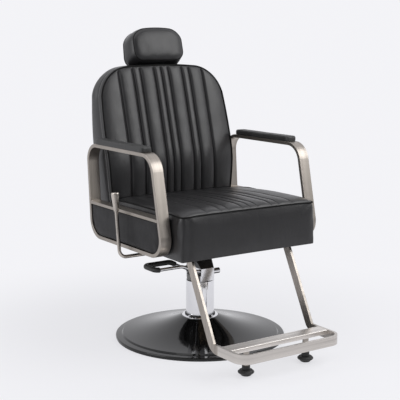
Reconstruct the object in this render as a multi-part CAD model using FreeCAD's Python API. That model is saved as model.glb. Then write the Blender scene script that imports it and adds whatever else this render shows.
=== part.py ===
import FreeCAD, Part
import math
import os

# Hydraulic barber chair, in millimetres.
# The origin is on the floor at the centre of the round base, +Z is up and the sitter looks along -Y.

V = FreeCAD.Vector

# Clearances
seat_gap = 0.3
running_gap = 0.05
hole_gap = 0.2

# Round base
base_radius = 300.0
floor_pad_height = 4.0
floor_pad_margin = 2.0
rim_height = 12.0
rim_width = 21.0
rim_slope = 2.0
rim_step = 5.0
rim_rounding = 4.0
dome_height = 75.0
dome_sag = 9.0
cover_wall = 3.0
plate_thickness = 10.0
plate_margin = 4.0
flange_width = 13.8
flange_thickness = 5.0
flange_taper = 3.0
flange_bolt_offset = 7.2
flange_rim = 3.0
flange_bolt_radius = 2.5
flange_bolt_depth = 30.0
flange_bolt_angle = 15.0
flange_head_step = 1.3
flange_head_height = 3.0
hub_wall = 12.0
gasket_width = 3.5
gasket_height = 3.0

# Pump column
tube_radius = 50.0
tube_wall = 3.5
tube_top = 204.0
cylinder_wall = 4.0
cylinder_bore = 36.0
bush_length = 20.0
wiper_width = 6.0
wiper_height = 5.0
ram_radius = 30.0
ram_stickout = 6.0
piston_height = 15.0
piston_core = 24.0
piston_floor_gap = 2.0
piston_stop_gap = 8.0
piston_seal_height = 5.0
piston_seal_depth = 4.0
washer_radius = 28.0
washer_thickness = 3.0
spindle_radius = 20.0
spindle_length = 75.0
spindle_end_gap = 3.0

# Pump head and its lever
head_lift_gap = 2.5
head_width = 54.0
head_height = 45.5
head_cover_wall = 1.6
collar_inset = 3.4
collar_height = 19.5
head_recess_gap = 1.5
block_width = 50.0
block_gap = 1.0
pivot_x = -8.0
pivot_drop = 12.0
slot_top_gap = 4.0
slot_side_gap = 2.0
lever_shaft_radius = 7.0
lever_eye_radius = 10.0
lever_eye_step = 1.0
lever_rod_radius = 6.0
lever_side_gap = 0.9
lever_reach = 206.0
lever_rise = 30.5
lever_knee_x = -100.0
lever_root_x = -56.0
lever_root_rise = 8.0
lever_root_bend = 40.0
lever_bend_radius = 20.0
grip_wall = 3.2
grip_start_share = 0.45
grip_end_x = -193.0
cam_radius = 9.0
cam_arm = 14.0
cam_nose_radius = 4.0
cam_width = 15.0
cam_room = 1.0
cam_sweep_room = 15.0
cam_floor_room = 5.0
barrel_radius = 10.5
barrel_start_x = 12.0
barrel_end_x = 82.0
barrel_end_wall = 12.0
barrel_rounding = 2.5
plunger_radius = 5.0
plunger_end_x = 40.0
spring_radius = 3.9
spring_wire = 1.0
spring_turns = 6

# Seat carrier and under-frame
neck_width = 68.0
neck_depth = 46.0
neck_height = 30.0
carrier_plate_size = 200.0
carrier_plate_thickness = 6.0
carrier_bolt_x = 80.0
cross_rail_y = 75.0
cross_rail_end_gap = 14.2
rail_width = 30.0
rail_height = 20.0
rail_wall = 2.0
side_rail_inner_x = 165.0
side_rail_margin = 8.0
side_rail_rear_gap = 4.0
side_rail_drop = 2.7
neck_corner = 2.0
bolt_end_gap = 3.0
leg_bolt_spacing = 18.0
frame_bolt_radius = 4.0
frame_bolt_head = 6.5
frame_bolt_head_height = 5.0

# Margin by which a padded form is made too large before its outline is cut
trim_margin = 3.0
# Shares of a cushion's length at which its crown is set
crown_shares = (
    0.0,
    0.01,
    0.03,
    0.06,
    0.1,
    0.16,
    0.25,
    0.37,
    0.5,
    0.63,
    0.75,
    0.84,
    0.9,
    0.94,
    0.97,
    0.99,
    1.0,
)

# Seat
seat_half_width = 267.2
seat_front_y = -297.6
seat_rear_y = 158.0
seat_bottom_z = 353.7
seat_welt_z = 498.5
seat_front_corner = 20.0
seat_rear_corner = 66.0
seat_crown = 15.0
seat_skin = 10.0
seat_side_draw = 2.5
box_wall = 18.0
box_foot_gap = 2.3
box_corner_step = 4.0
board_thickness = 15.0
channel_xs = (30.0, 86.0, 117.0, 172.0)
channel_bulge_wide = 5.5
channel_bulge_narrow = 3.0
wide_panel = 45.0
seam_rise = 0.4

# Armrests
arm_gap = 9.9
arm_bar_width = 40.0
arm_bar_thickness = 12.0
arm_bottom_z = 358.6
arm_top_z = 688.0
arm_front_y = -266.0
arm_rear_y = 215.0
arm_front_lean = 0.22
arm_rear_lean = 0.0714
arm_corner_bottom_front = 60.0
arm_corner_bottom_rear = 70.0
arm_corner_top_rear = 60.0
arm_corner_top_front = 70.0
arm_edge_radius = 1.2
crossbar_z = 476.0
crossbar_height = 9.5
panel_recess = 3.0
panel_corner = 10.0
panel_edge_radius = 4.0
panel_bolt_depth = 18.0
pad_width = 42.0
pad_height = 20.0
pad_front_y = -138.0
pad_rear_y = 175.0
pad_corner = 8.0
pad_edge_radius = 5.0
arm_bolt_ys = (-150.0, -35.0, 80.0)
arm_bolt_z = 382.0
spacer_radius = 9.0
arm_screw_radius = 1.75
arm_screw_depth = 14.0
arm_screw_end_gap = 1.0
arm_screw_head = 2.2
arm_screw_ys = (-90.0, 110.0)

# Footrest
leg_thickness = 9.0
leg_width = 30.0
leg_front_y = -255.0
leg_front_z = 340.0
leg_lean = 0.517
knee_radius = 52.0
leg_nose_radius = 3.0
bar_bottom_z = 70.2
bar_height = 30.6
bar_joint_y = -400.0
bar_front_y = -527.5
bar_corner = 46.0
tread_rear_y = -411.0
tread_width = 49.0
tread_height = 15.0
tread_wall = 2.0
tread_edge_radius = 1.5
tread_inner_radius = 0.5
post_radius = 10.0
post_x = 121.0
post_y = -438.0
foot_bottom_z = 2.0
foot_base_radius = 17.0
foot_base_height = 7.0
foot_flange_radius = 26.0
foot_flange_height = 12.0
foot_collar_radius = 13.0
foot_collar_height = 13.0
foot_floor = 12.0
foot_bevel = 2.0
foot_flange_bevel = 3.0
foot_shoulder = 5.0
foot_flange_slope = 1.0

# Recline hinge
pivot_z = 400.0
recline_angle = 40.0
hinge_plate = 6.0
hinge_eye_radius = 14.0
hinge_pin_radius = 6.0
hinge_front_y = 62.0
hinge_bolt_ys = (80.0, 110.0)
hinge_plate_edge = 1.0
hinge_heel = 14.0
hinge_lip = 8.0
hinge_lip_drop = 4.0
hinge_shoulder = 38.0
hinge_corner = 3.0
hinge_pin_stickout = 2.0
hinge_pin_head = 4.0
strap_width = 24.0
strap_height = 170.0
strap_foot_width = 30.0
strap_foot_thickness = 4.0
strap_foot_gap = 3.0
strap_slot_gap = 2.0
torsion_tube_radius = 12.5
torsion_tube_wall = 4.0
tube_end_wall = 1.0

# Locking gas spring under the seat and its release lever
gas_x = -130.0
gas_z = 342.0
gas_rod_radius = 5.0
gas_cylinder_radius = 11.0
gas_cylinder_wall = 2.0
gas_cylinder_front_y = 75.0
gas_cylinder_length = 130.0
gas_rod_end_y = 118.0
gas_rod_stickout = 6.0
gas_end_wall = 6.0
crank_pin_radius = 5.0
crank_plate = 6.0
crank_gap = 5.0
crank_width = 22.0
eye_thickness = 8.0
eye_margin = 7.0
eye_end_wall = 4.0
slot_room = 0.6
slot_corner_share = 0.9
anchor_thickness = 8.0
anchor_y = -4.0
anchor_margin = 14.0
web_thickness = 6.0
web_width = 18.0
pin_radius = 2.5
pin_stickout = 9.7
pin_end_room = 4.0
release_arm = 10.0
release_nose_radius = 4.0
recline_shaft_y = -32.0
recline_rod_radius = 6.0
recline_lever_gap = 23.9
recline_lever_bend = 24.0
recline_lever_lean = 0.126
recline_lever_height = 152.0
release_hub_radius = 8.0
release_hub_width = 12.0
handle_length = 62.5
handle_radius = 14.2
handle_neck_radius = 8.4
handle_rounding = 5.0
handle_overlap = 22.0
lever_tube_wall = 4.0
lever_tube_length = 50.0
lever_tube_overhang = 12.0

# Backrest
back_channel_bulge = 5.0
back_pad_depth = 20.0
back_foot_depth = 116.0
back_side_step = 3.7
back_draw_low = 20.5
back_draw_high = 7.0
back_mid_z = 700.0
back_shoulder_z = 845.0
back_corner_draw = 32.5
back_corner_z = 899.0
back_top_draw = 123.5
back_top_corner_z = 944.5
back_top_z = 949.5
back_bottom_z = 415.0
back_bend_z = 615.0
back_bend_length = 80.0
back_lean = 0.272
back_front_y = 171.0
back_crown = 8.0
back_board_thickness = 12.0
back_shell_wall = 22.0
back_shell_rear_wall = 14.0
back_slab_reach = 20.0

# Headrest
headrest_width = 228.0
headrest_depth = 86.0
headrest_height = 122.0
headrest_y = 309.5
headrest_z = 1016.0
headrest_corner = 44.0
headrest_crown = 7.0
headrest_edge = 24.0
headrest_tilt = 15.2
headrest_post_radius = 5.0
headrest_post_x = 55.0
headrest_post_length = 125.0
headrest_plate_width = 150.0
headrest_plate_height = 46.0
headrest_plate_thickness = 6.0
guide_wall = 3.0
guide_length = 140.0
guide_mouth_depth = 5.0
guide_bore_reach = 60.0
guide_board_gap = 1.2
guide_cover = 8.3

# How far a cutter runs past the face that it cuts through
over = 1.0
# Distance within which an edge counts as lying on a face
touch = 0.01

# Heights and places that follow from the sizes above
flange_radius = tube_radius + flange_width
flange_bolt_circle = tube_radius + flange_bolt_offset
hub_radius = tube_radius + hub_wall
collar_radius = tube_radius - collar_inset
head_depth = 2 * (collar_radius + seat_gap + head_cover_wall)
lever_spread = head_depth / 2 - head_cover_wall - lever_side_gap - lever_rod_radius
block_depth = 2 * (lever_spread - lever_rod_radius - lever_eye_step - block_gap)
arm_inner_x = seat_half_width + arm_gap
arm_outer_x = arm_inner_x + arm_bar_width
recline_lever_x = -arm_outer_x - recline_lever_gap
back_half_width = seat_half_width - back_side_step
back_half_width_low = back_half_width - back_draw_low
back_half_width_high = back_half_width - back_draw_high
back_corner_x = back_half_width - back_corner_draw
back_top_x = back_half_width - back_top_draw
plate_top = floor_pad_height + plate_thickness
hub_top = dome_height - cover_wall
tube_bore = tube_radius - tube_wall
bush_bottom = tube_top - bush_length
ram_top = tube_top + ram_stickout
ram_bottom = plate_top + piston_floor_gap
lift_travel = bush_bottom - ram_bottom - piston_height - piston_stop_gap
head_bottom = tube_top + head_lift_gap
head_top = head_bottom + head_height
collar_top = head_bottom + collar_height
washer_top = ram_top + washer_thickness
head_roof = washer_top + 2 * running_gap
lever_pivot_z = head_top - pivot_drop
plunger_z = lever_pivot_z - cam_arm
side_rail_outer_x = side_rail_inner_x + rail_width
side_rail_bottom = seat_bottom_z - side_rail_drop
side_rail_top = side_rail_bottom + rail_height
cross_rail_top = side_rail_top + rail_height
board_bottom = cross_rail_top
board_top = board_bottom + board_thickness
box_outer_x = seat_half_width - seat_skin
box_inner_x = box_outer_x - box_wall
cross_rail_half_length = box_inner_x - cross_rail_end_gap
box_front_y = seat_front_y + seat_skin
box_rear_y = seat_rear_y - seat_skin
frame_bolt_z = side_rail_bottom + rail_height / 2
arm_center_x = arm_outer_x - arm_bar_width / 2
leg_inner_x = side_rail_outer_x
leg_outer_x = leg_inner_x + leg_thickness
bar_top_z = bar_bottom_z + bar_height
board_front_depth = back_pad_depth + 2 * seat_gap
board_rear_depth = board_front_depth + back_board_thickness
strap_front_y = back_front_y + board_rear_depth + seat_gap
hinge_y = strap_front_y + strap_width / 2
strap_outer_x = side_rail_outer_x - seat_gap
crank_half_angle = math.radians(recline_angle / 2)
crank_length = 2 * (pivot_z - gas_z) / (1 + math.cos(crank_half_angle))
crank_pin_y = hinge_y + crank_length * math.sin(crank_half_angle)
crank_pin_z = pivot_z - crank_length * math.cos(crank_half_angle)
crank_pin_rise = crank_length * (1 - math.cos(crank_half_angle))
gas_travel = 2 * crank_length * math.sin(crank_half_angle)
recline_shaft_z = gas_z - release_arm
lean_angle = math.atan(back_lean)
guide_radius = headrest_post_radius + running_gap + guide_wall
headrest_post_depth = board_rear_depth + guide_board_gap + guide_radius
back_top_depth = headrest_post_depth + guide_radius + guide_cover
back_thinning = (back_foot_depth - back_top_depth) / (back_top_z - back_bend_z)
back_rear_lean = back_lean - back_thinning


def mirrored(shape):
    """The same shape on the other side of the chair."""
    return shape.mirror(V(0, 0, 0), V(1, 0, 0))


def both_sides(shape):
    """The shape and its mirror image, as two separate solids."""
    return Part.makeCompound([shape, mirrored(shape)])


def group(shapes):
    return Part.makeCompound(shapes)


def box(x0, x1, y0, y1, z0, z1):
    return Part.makeBox(x1 - x0, y1 - y0, z1 - z0, V(x0, y0, z0))


def cylinder_x(radius, x0, x1, y, z):
    return Part.makeCylinder(radius, x1 - x0, V(x0, y, z), V(1, 0, 0))


def cylinder_y(radius, y0, y1, x, z):
    return Part.makeCylinder(radius, y1 - y0, V(x, y0, z), V(0, 1, 0))


def cylinder_z(radius, z0, z1, x=0.0, y=0.0):
    return Part.makeCylinder(radius, z1 - z0, V(x, y, z0), V(0, 0, 1))


def ring_z(outer, inner, z0, z1, x=0.0, y=0.0):
    return cylinder_z(outer, z0, z1, x, y).cut(cylinder_z(inner, z0 - over, z1 + over, x, y))


def place_x(u, v, at):
    return V(at, u, v)


def place_y(u, v, at):
    return V(u, at, v)


def place_z(u, v, at):
    return V(u, v, at)


def rounded_wire(points, radii, place, at):
    """Closed outline of straight lines with each corner rounded to its own radius."""
    corners = []
    count = len(points)
    for i in range(count):
        corner = V(points[i][0], points[i][1], 0)
        before = V(points[i - 1][0], points[i - 1][1], 0)
        after = V(points[(i + 1) % count][0], points[(i + 1) % count][1], 0)
        inward = (before - corner).normalize()
        onward = (after - corner).normalize()
        half = inward.getAngle(onward) / 2
        radius = radii[i]
        if radius <= 0:
            corners.append((corner, None, corner))
            continue
        reach = radius / math.tan(half)
        centre = corner + (inward + onward).normalize() * (radius / math.sin(half))
        middle = centre + (corner - centre).normalize() * radius
        corners.append((corner + inward * reach, middle, corner + onward * reach))
    edges = []
    for i in range(count):
        start, middle, end = corners[i]
        following = corners[(i + 1) % count][0]
        if middle is not None:
            arc = Part.Arc(*(place(p.x, p.y, at) for p in (start, middle, end)))
            edges.append(arc.toShape())
        if (following - end).Length > 1e-6:
            line = Part.LineSegment(place(end.x, end.y, at), place(following.x, following.y, at))
            edges.append(line.toShape())
    return Part.Wire(edges)


def rounded_prism(points, radii, place, low, high):
    face = Part.Face(rounded_wire(points, radii, place, low))
    return face.extrude(place(0, 0, high) - place(0, 0, low))


def inset_points(points, distance):
    """Corners of the outline moved inwards by one distance; the points run anticlockwise."""
    lines = []
    count = len(points)
    for i in range(count):
        start = V(points[i][0], points[i][1], 0)
        end = V(points[(i + 1) % count][0], points[(i + 1) % count][1], 0)
        along = (end - start).normalize()
        inward = V(-along.y, along.x, 0)
        lines.append((start + inward * distance, along))
    corners = []
    for i in range(count):
        p, d = lines[i - 1]
        q, e = lines[i]
        cross = d.x * e.y - d.y * e.x
        step = ((q.x - p.x) * e.y - (q.y - p.y) * e.x) / cross
        corners.append((p.x + d.x * step, p.y + d.y * step))
    return corners


def bent_rod(points, bends, radius):
    """Round rod along straight runs joined by tangent arcs."""
    edges = []
    start = points[0]
    for i in range(1, len(points) - 1):
        corner = points[i]
        inward = (points[i - 1] - corner).normalize()
        onward = (points[i + 1] - corner).normalize()
        half = inward.getAngle(onward) / 2
        reach = bends[i - 1] / math.tan(half)
        centre = corner + (inward + onward).normalize() * (bends[i - 1] / math.sin(half))
        middle = centre + (corner - centre).normalize() * bends[i - 1]
        arc_start = corner + inward * reach
        arc_end = corner + onward * reach
        edges.append(Part.LineSegment(start, arc_start).toShape())
        edges.append(Part.Arc(arc_start, middle, arc_end).toShape())
        start = arc_end
    edges.append(Part.LineSegment(start, points[-1]).toShape())
    path = Part.Wire(edges)
    circle = Part.Circle(points[0], points[1] - points[0], radius).toShape()
    return path.makePipeShell([Part.Wire([circle])], True, True)


def revolved(points):
    """Solid of revolution about Z from a closed outline of (radius, height) points."""
    corners = [V(radius, 0, height) for radius, height in points]
    face = Part.Face(Part.makePolygon(corners + corners[:1]))
    return face.revolve(V(0, 0, 0), V(0, 0, 1), 360)


def hex_bolt(radius, head, head_height, length):
    """Bolt along +Z with its head below the origin."""
    corners = []
    for k in range(6):
        angle = math.radians(60 * k)
        corners.append(V(head * math.cos(angle), head * math.sin(angle), -head_height))
    face = Part.Face(Part.makePolygon(corners + corners[:1]))
    return face.extrude(V(0, 0, head_height)).fuse(cylinder_z(radius, 0, length))


def turned(shape, axis, angle, at):
    copy = shape.copy()
    copy.rotate(V(0, 0, 0), axis, angle)
    copy.translate(at)
    return copy


# Base

def cover_outline(drop, inset):
    """Outer or inner line of the pressed cover from the rim to the centre hole."""
    rim_inner = base_radius - rim_width
    flat_radius = flange_radius + flange_rim
    start = V(base_radius - inset, 0, floor_pad_height - 0.5 * drop)
    rim_low = V(base_radius - inset, 0, rim_height - rim_rounding)
    corner = rim_rounding * (1 - math.sqrt(0.5))
    rim_mid = V(base_radius - inset - corner, 0, rim_height - corner - drop)
    rim_top = V(base_radius - rim_rounding, 0, rim_height - drop)
    ring_end = V(rim_inner, 0, rim_height + rim_slope - drop)
    step_top = V(rim_inner - rim_step, 0, rim_height + rim_slope + rim_step - drop)
    middle_radius = (step_top.x + flat_radius) / 2
    middle_z = (step_top.z + dome_height - drop) / 2 - dome_sag
    centre = V(flat_radius, 0, dome_height - drop)
    hole = V(tube_radius + seat_gap, 0, dome_height - drop)
    edges = [
        Part.LineSegment(start, rim_low).toShape(),
        Part.Arc(rim_low, rim_mid, rim_top).toShape(),
        Part.LineSegment(rim_top, ring_end).toShape(),
        Part.LineSegment(ring_end, step_top).toShape(),
        Part.Arc(step_top, V(middle_radius, 0, middle_z), centre).toShape(),
        Part.LineSegment(centre, hole).toShape(),
    ]
    return edges, start, hole


def base_cover():
    upper, upper_start, upper_hole = cover_outline(0.0, 0.0)
    lower, lower_start, lower_hole = cover_outline(cover_wall, cover_wall)
    rim_foot = V(lower_start.x, 0, upper_start.z)
    lower[0] = Part.LineSegment(rim_foot, V(lower_start.x, 0, rim_height - rim_rounding)).toShape()
    hole_edge = Part.LineSegment(upper_hole, lower_hole).toShape()
    foot_edge = Part.LineSegment(rim_foot, upper_start).toShape()
    wire = Part.Wire(Part.sortEdges(upper + lower + [hole_edge, foot_edge])[0])
    return Part.Face(wire).revolve(V(0, 0, 0), V(0, 0, 1), 360)


def flange_bolt_places():
    places = []
    for k in range(4):
        angle = math.radians(flange_bolt_angle + 90 * k)
        places.append((flange_bolt_circle * math.cos(angle), flange_bolt_circle * math.sin(angle)))
    return places


def drill_flange(shape, radius, low, high):
    for x, y in flange_bolt_places():
        shape = shape.cut(cylinder_z(radius, low, high, x, y))
    return shape


def make_base(parts):
    parts["floor_pad"] = cylinder_z(base_radius - floor_pad_margin, 0, floor_pad_height)
    bolt_hole = flange_bolt_radius + hole_gap
    bolt_low = hub_top - flange_bolt_depth
    flange_top = dome_height + flange_thickness
    parts["base_cover"] = drill_flange(base_cover(), bolt_hole, bolt_low, flange_top)
    plate_radius = base_radius - rim_width - cover_wall - plate_margin
    parts["ballast_plate"] = cylinder_z(plate_radius, floor_pad_height, plate_top)
    hub = ring_z(hub_radius, tube_radius + seat_gap, plate_top, hub_top)
    parts["base_hub"] = drill_flange(hub, bolt_hole, bolt_low, flange_top)
    flange = revolved([
        (tube_radius + hole_gap, dome_height),
        (flange_radius, dome_height),
        (flange_radius, dome_height + flange_thickness - flange_taper),
        (flange_radius - flange_taper, flange_top),
        (tube_radius + hole_gap, flange_top),
    ])
    parts["base_flange"] = drill_flange(flange, bolt_hole, bolt_low, flange_top + over)
    bolts = []
    head_radius = flange_bolt_radius + flange_head_step
    for x, y in flange_bolt_places():
        shank = cylinder_z(flange_bolt_radius, bolt_low + over, flange_top, x, y)
        head = cylinder_z(head_radius, flange_top, flange_top + flange_head_height, x, y)
        bolts.append(shank.fuse(head).removeSplitter())
    parts["flange_bolts"] = group(bolts)
    gasket_inner = tube_radius + hole_gap
    gasket_top = flange_top + gasket_height
    gasket = ring_z(gasket_inner + gasket_width, gasket_inner, flange_top, gasket_top)
    for x, y in flange_bolt_places():
        gasket = gasket.cut(cylinder_z(head_radius + hole_gap, flange_top - over, gasket_top + over, x, y))
    parts["tube_gasket"] = gasket


# Pump column

def make_column(parts):
    parts["outer_tube"] = ring_z(tube_radius, tube_bore, plate_top, tube_top)
    cylinder_outer = cylinder_bore + cylinder_wall
    parts["hydraulic_cylinder"] = ring_z(cylinder_outer, cylinder_bore, plate_top, bush_bottom)
    bush = ring_z(tube_bore - running_gap, ram_radius + running_gap, bush_bottom, tube_top)
    wiper_seat = tube_top - wiper_height
    wiper_outer = ram_radius + seat_gap + wiper_width
    parts["guide_bush"] = bush.cut(cylinder_z(wiper_outer + running_gap, wiper_seat, tube_top + over))
    parts["wiper_seal"] = ring_z(wiper_outer, ram_radius + seat_gap, wiper_seat, tube_top)
    ram = cylinder_z(ram_radius, ram_bottom + piston_height, ram_top)
    ram = ram.fuse(cylinder_z(piston_core, ram_bottom, ram_bottom + piston_height))
    bore_floor = head_roof - spindle_length - spindle_end_gap
    ram = ram.cut(cylinder_z(spindle_radius + running_gap, bore_floor, ram_top + over))
    parts["ram"] = ram
    piston_radius = cylinder_bore - running_gap
    piston = ring_z(piston_radius, piston_core + running_gap, ram_bottom, ram_bottom + piston_height)
    seal_bottom = ram_bottom + (piston_height - piston_seal_height) / 2
    seal_top = seal_bottom + piston_seal_height
    seal_inner = piston_radius - piston_seal_depth
    parts["piston"] = piston.cut(ring_z(cylinder_bore + over, seal_inner, seal_bottom, seal_top))
    parts["piston_seal"] = ring_z(piston_radius, seal_inner + running_gap, seal_bottom, seal_top)
    parts["thrust_washer"] = ring_z(washer_radius, spindle_radius + hole_gap, ram_top, washer_top)


# Pump head with its lever and plunger

def make_head(parts):
    block = box(-block_width / 2, block_width / 2, -block_depth / 2, block_depth / 2, collar_top, head_top)
    head = cylinder_z(collar_radius, head_bottom, collar_top).fuse(block)
    head = head.cut(cylinder_z(ram_radius + head_recess_gap, head_bottom - over, head_roof))
    head = head.fuse(cylinder_z(spindle_radius, head_roof - spindle_length, head_roof + over))
    cavity_half = cam_width / 2 + cam_room
    cavity_low = plunger_z - cam_nose_radius - cam_floor_room
    cavity_x0 = pivot_x - cam_sweep_room
    cavity_x1 = pivot_x + cam_sweep_room
    cavity = box(cavity_x0, cavity_x1, -cavity_half, cavity_half, cavity_low, head_top + over)
    head = head.cut(cavity)
    shaft_bore = lever_shaft_radius + running_gap
    head = head.cut(cylinder_y(shaft_bore, -block_depth, block_depth, pivot_x, lever_pivot_z))
    head = head.cut(cylinder_x(barrel_radius + running_gap, pivot_x, barrel_end_x, 0, plunger_z))
    parts["pump_head"] = head.removeSplitter()

    outside = box(-head_width / 2, head_width / 2, -head_depth / 2, head_depth / 2, head_bottom, head_top)
    inner_x = head_width / 2 - head_cover_wall
    inner_y = head_depth / 2 - head_cover_wall
    cover = outside.cut(box(-inner_x, inner_x, -inner_y, inner_y, head_bottom - over, head_top + over))
    cover = cover.cut(cylinder_z(collar_radius + seat_gap, head_bottom - over, collar_top + seat_gap))
    slot_inner = lever_spread - lever_rod_radius - slot_side_gap
    slot_top = lever_pivot_z + lever_rod_radius + slot_top_gap
    for side in (-1, 1):
        y0, y1 = sorted((side * slot_inner, side * inner_y))
        cover = cover.cut(box(-head_width, -inner_x + over, y0, y1, collar_top, slot_top))
    cover = cover.cut(cylinder_x(barrel_radius + seat_gap, 0, head_width, 0, plunger_z))
    parts["head_cover"] = cover

    bore_end = barrel_end_x - barrel_end_wall
    barrel = cylinder_x(barrel_radius, barrel_start_x, barrel_end_x, 0, plunger_z)
    bore_radius = plunger_radius + running_gap
    barrel = barrel.cut(cylinder_x(bore_radius, barrel_start_x - over, bore_end, 0, plunger_z))
    rim = [edge for edge in barrel.Edges if abs(edge.CenterOfMass.x - barrel_end_x) < touch]
    parts["plunger_barrel"] = barrel.makeFillet(barrel_rounding, rim)
    plunger_start = pivot_x + cam_nose_radius + seat_gap
    parts["plunger"] = cylinder_x(plunger_radius, plunger_start, plunger_end_x, 0, plunger_z)
    spring_length = bore_end - plunger_end_x - 2 * spring_wire - 2 * seat_gap
    helix = Part.makeHelix(spring_length / spring_turns, spring_length, spring_radius)
    section = Part.Wire([Part.Circle(V(spring_radius, 0, 0), V(0, 1, 0), spring_wire).toShape()])
    coil = Part.Wire(helix.Edges).makePipeShell([section], True, True)
    coil_start = plunger_end_x + spring_wire + seat_gap
    parts["plunger_spring"] = turned(coil, V(0, 1, 0), 90, V(coil_start, 0, plunger_z))


def make_pump_lever(parts):
    eye_outer = lever_spread + lever_rod_radius - lever_eye_step
    eye_inner = lever_spread - lever_rod_radius - lever_eye_step
    shaft = cylinder_y(lever_shaft_radius, -eye_outer, eye_outer, pivot_x, lever_pivot_z)
    cam_half = cam_width / 2
    shaft = shaft.fuse(cylinder_y(cam_radius, -cam_half, cam_half, pivot_x, lever_pivot_z))
    nose_z = lever_pivot_z - cam_arm
    arm_x0 = pivot_x - cam_nose_radius
    arm_x1 = pivot_x + cam_nose_radius
    arm = box(arm_x0, arm_x1, -cam_half, cam_half, nose_z, lever_pivot_z)
    nose = cylinder_y(cam_nose_radius, -cam_half, cam_half, pivot_x, nose_z)
    parts["lever_shaft"] = shaft.fuse([arm, nose]).removeSplitter()

    top_z = lever_pivot_z + lever_rise
    end_x = -lever_reach
    eye_side = V(pivot_x - lever_eye_radius / 2, -lever_spread, lever_pivot_z)
    root = V(lever_root_x, -lever_spread, lever_pivot_z + lever_root_rise)
    near_leg = [eye_side, root, V(lever_knee_x, -lever_spread, top_z), V(end_x, -lever_spread, top_z)]
    far_leg = [V(point.x, -point.y, point.z) for point in reversed(near_leg)]
    points = near_leg + far_leg
    bends = [lever_root_bend] * 2 + [lever_bend_radius] * 2 + [lever_root_bend] * 2
    lever = bent_rod(points, bends, lever_rod_radius)
    for side in (-1, 1):
        y0, y1 = sorted((side * eye_inner, side * eye_outer))
        lever = lever.fuse(cylinder_y(lever_eye_radius, y0, y1, pivot_x, lever_pivot_z))
    bore = cylinder_y(lever_shaft_radius, -eye_outer - over, eye_outer + over, pivot_x, lever_pivot_z)
    parts["pump_lever"] = lever.cut(bore).removeSplitter()
    far_knee = far_leg[1]
    grip_start = far_knee + (far_leg[2] - far_knee) * grip_start_share
    near_middle = V((lever_knee_x + end_x) / 2, -lever_spread, top_z)
    grip_points = [near_middle, near_leg[3], far_leg[0], far_knee, grip_start]
    grip_bends = bends[2:5]
    grip_radius = lever_rod_radius + grip_wall
    sleeve = bent_rod(grip_points, grip_bends, grip_radius)
    sleeve = sleeve.cut(bent_rod(grip_points, grip_bends, lever_rod_radius))
    reach = grip_radius + over
    bare_leg = box(grip_end_x, 0, -lever_spread - reach, 0, top_z - reach, top_z + reach)
    parts["pedal_grip"] = sleeve.cut(bare_leg)


# Seat carrier, rails and bolts

def carrier_bolt_places():
    return [(x, y) for x in (-carrier_bolt_x, carrier_bolt_x) for y in (-cross_rail_y, cross_rail_y)]


def rectangle_wire(width, depth, z):
    x = width / 2
    y = depth / 2
    points = [(-x, -y), (x, -y), (x, y), (-x, y)]
    return rounded_wire(points, [neck_corner] * 4, place_z, z)


def hollow_rail(x0, x1, y0, y1, z0, z1, along_x):
    rail = box(x0, x1, y0, y1, z0, z1)
    wall_x = -over if along_x else rail_wall
    wall_y = rail_wall if along_x else -over
    inside = box(x0 + wall_x, x1 - wall_x, y0 + wall_y, y1 - wall_y, z0 + rail_wall, z1 - rail_wall)
    return rail.cut(inside)


def leg_bolt_ys():
    middle = leg_front_line(frame_bolt_z) + leg_width * math.sqrt(1 + leg_lean ** 2) / 2
    return (middle - leg_bolt_spacing / 2, middle + leg_bolt_spacing / 2)


def make_carrier(parts):
    neck_top = head_top + neck_height
    plate_bottom = side_rail_top - carrier_plate_thickness
    flare = Part.makeLoft(
        [rectangle_wire(head_width, head_depth, head_top), rectangle_wire(neck_width, neck_depth, neck_top)],
        True,
        True,
    )
    neck_face = Part.Face(rectangle_wire(neck_width, neck_depth, neck_top))
    neck = neck_face.extrude(V(0, 0, plate_bottom - neck_top))
    half = carrier_plate_size / 2
    plate = box(-half, half, -half, half, plate_bottom, side_rail_top)
    carrier = flare.fuse([neck, plate]).removeSplitter()
    for x, y in carrier_bolt_places():
        hole_top = side_rail_top + over
        hole = cylinder_z(frame_bolt_radius + hole_gap, plate_bottom - over, hole_top, x, y)
        carrier = carrier.cut(hole)
    parts["seat_carrier"] = carrier

    rails = []
    for y in (-cross_rail_y, cross_rail_y):
        half_length = cross_rail_half_length
        y0 = y - rail_width / 2
        y1 = y0 + rail_width
        rail = hollow_rail(-half_length, half_length, y0, y1, side_rail_top, cross_rail_top, True)
        for x in (-carrier_bolt_x, carrier_bolt_x):
            hole_top = side_rail_top + rail_wall + over
            rail = rail.cut(cylinder_z(frame_bolt_radius + hole_gap, side_rail_top - over, hole_top, x, y))
        rails.append(rail)
    parts["cross_rails"] = group(rails)
    bolts = []
    length = rail_height - rail_wall - bolt_end_gap + carrier_plate_thickness
    bolt = hex_bolt(frame_bolt_radius, frame_bolt_head, frame_bolt_head_height, length)
    nut_z = carrier_plate_thickness + rail_wall
    nut = hex_bolt(frame_bolt_radius, frame_bolt_head, frame_bolt_head_height, over)
    nut.translate(V(0, 0, nut_z + frame_bolt_head_height))
    for x, y in carrier_bolt_places():
        bolts.append(turned(bolt.fuse(nut), V(0, 0, 1), 0, V(x, y, plate_bottom)))
    side_length = hinge_plate + rail_width - rail_wall - bolt_end_gap
    side_bolt = hex_bolt(frame_bolt_radius, frame_bolt_head, frame_bolt_head_height, side_length)
    for y in hinge_bolt_ys:
        placed = turned(side_bolt, V(0, 1, 0), -90, V(side_rail_outer_x + hinge_plate, y, frame_bolt_z))
        bolts.extend([placed, mirrored(placed)])
    leg_length = leg_thickness + rail_width - rail_wall - bolt_end_gap
    leg_bolt = hex_bolt(frame_bolt_radius, frame_bolt_head, frame_bolt_head_height, leg_length)
    for y in leg_bolt_ys():
        placed = turned(leg_bolt, V(0, 1, 0), -90, V(leg_outer_x, y, frame_bolt_z))
        bolts.extend([placed, mirrored(placed)])
    parts["frame_bolts"] = group(bolts)


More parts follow.
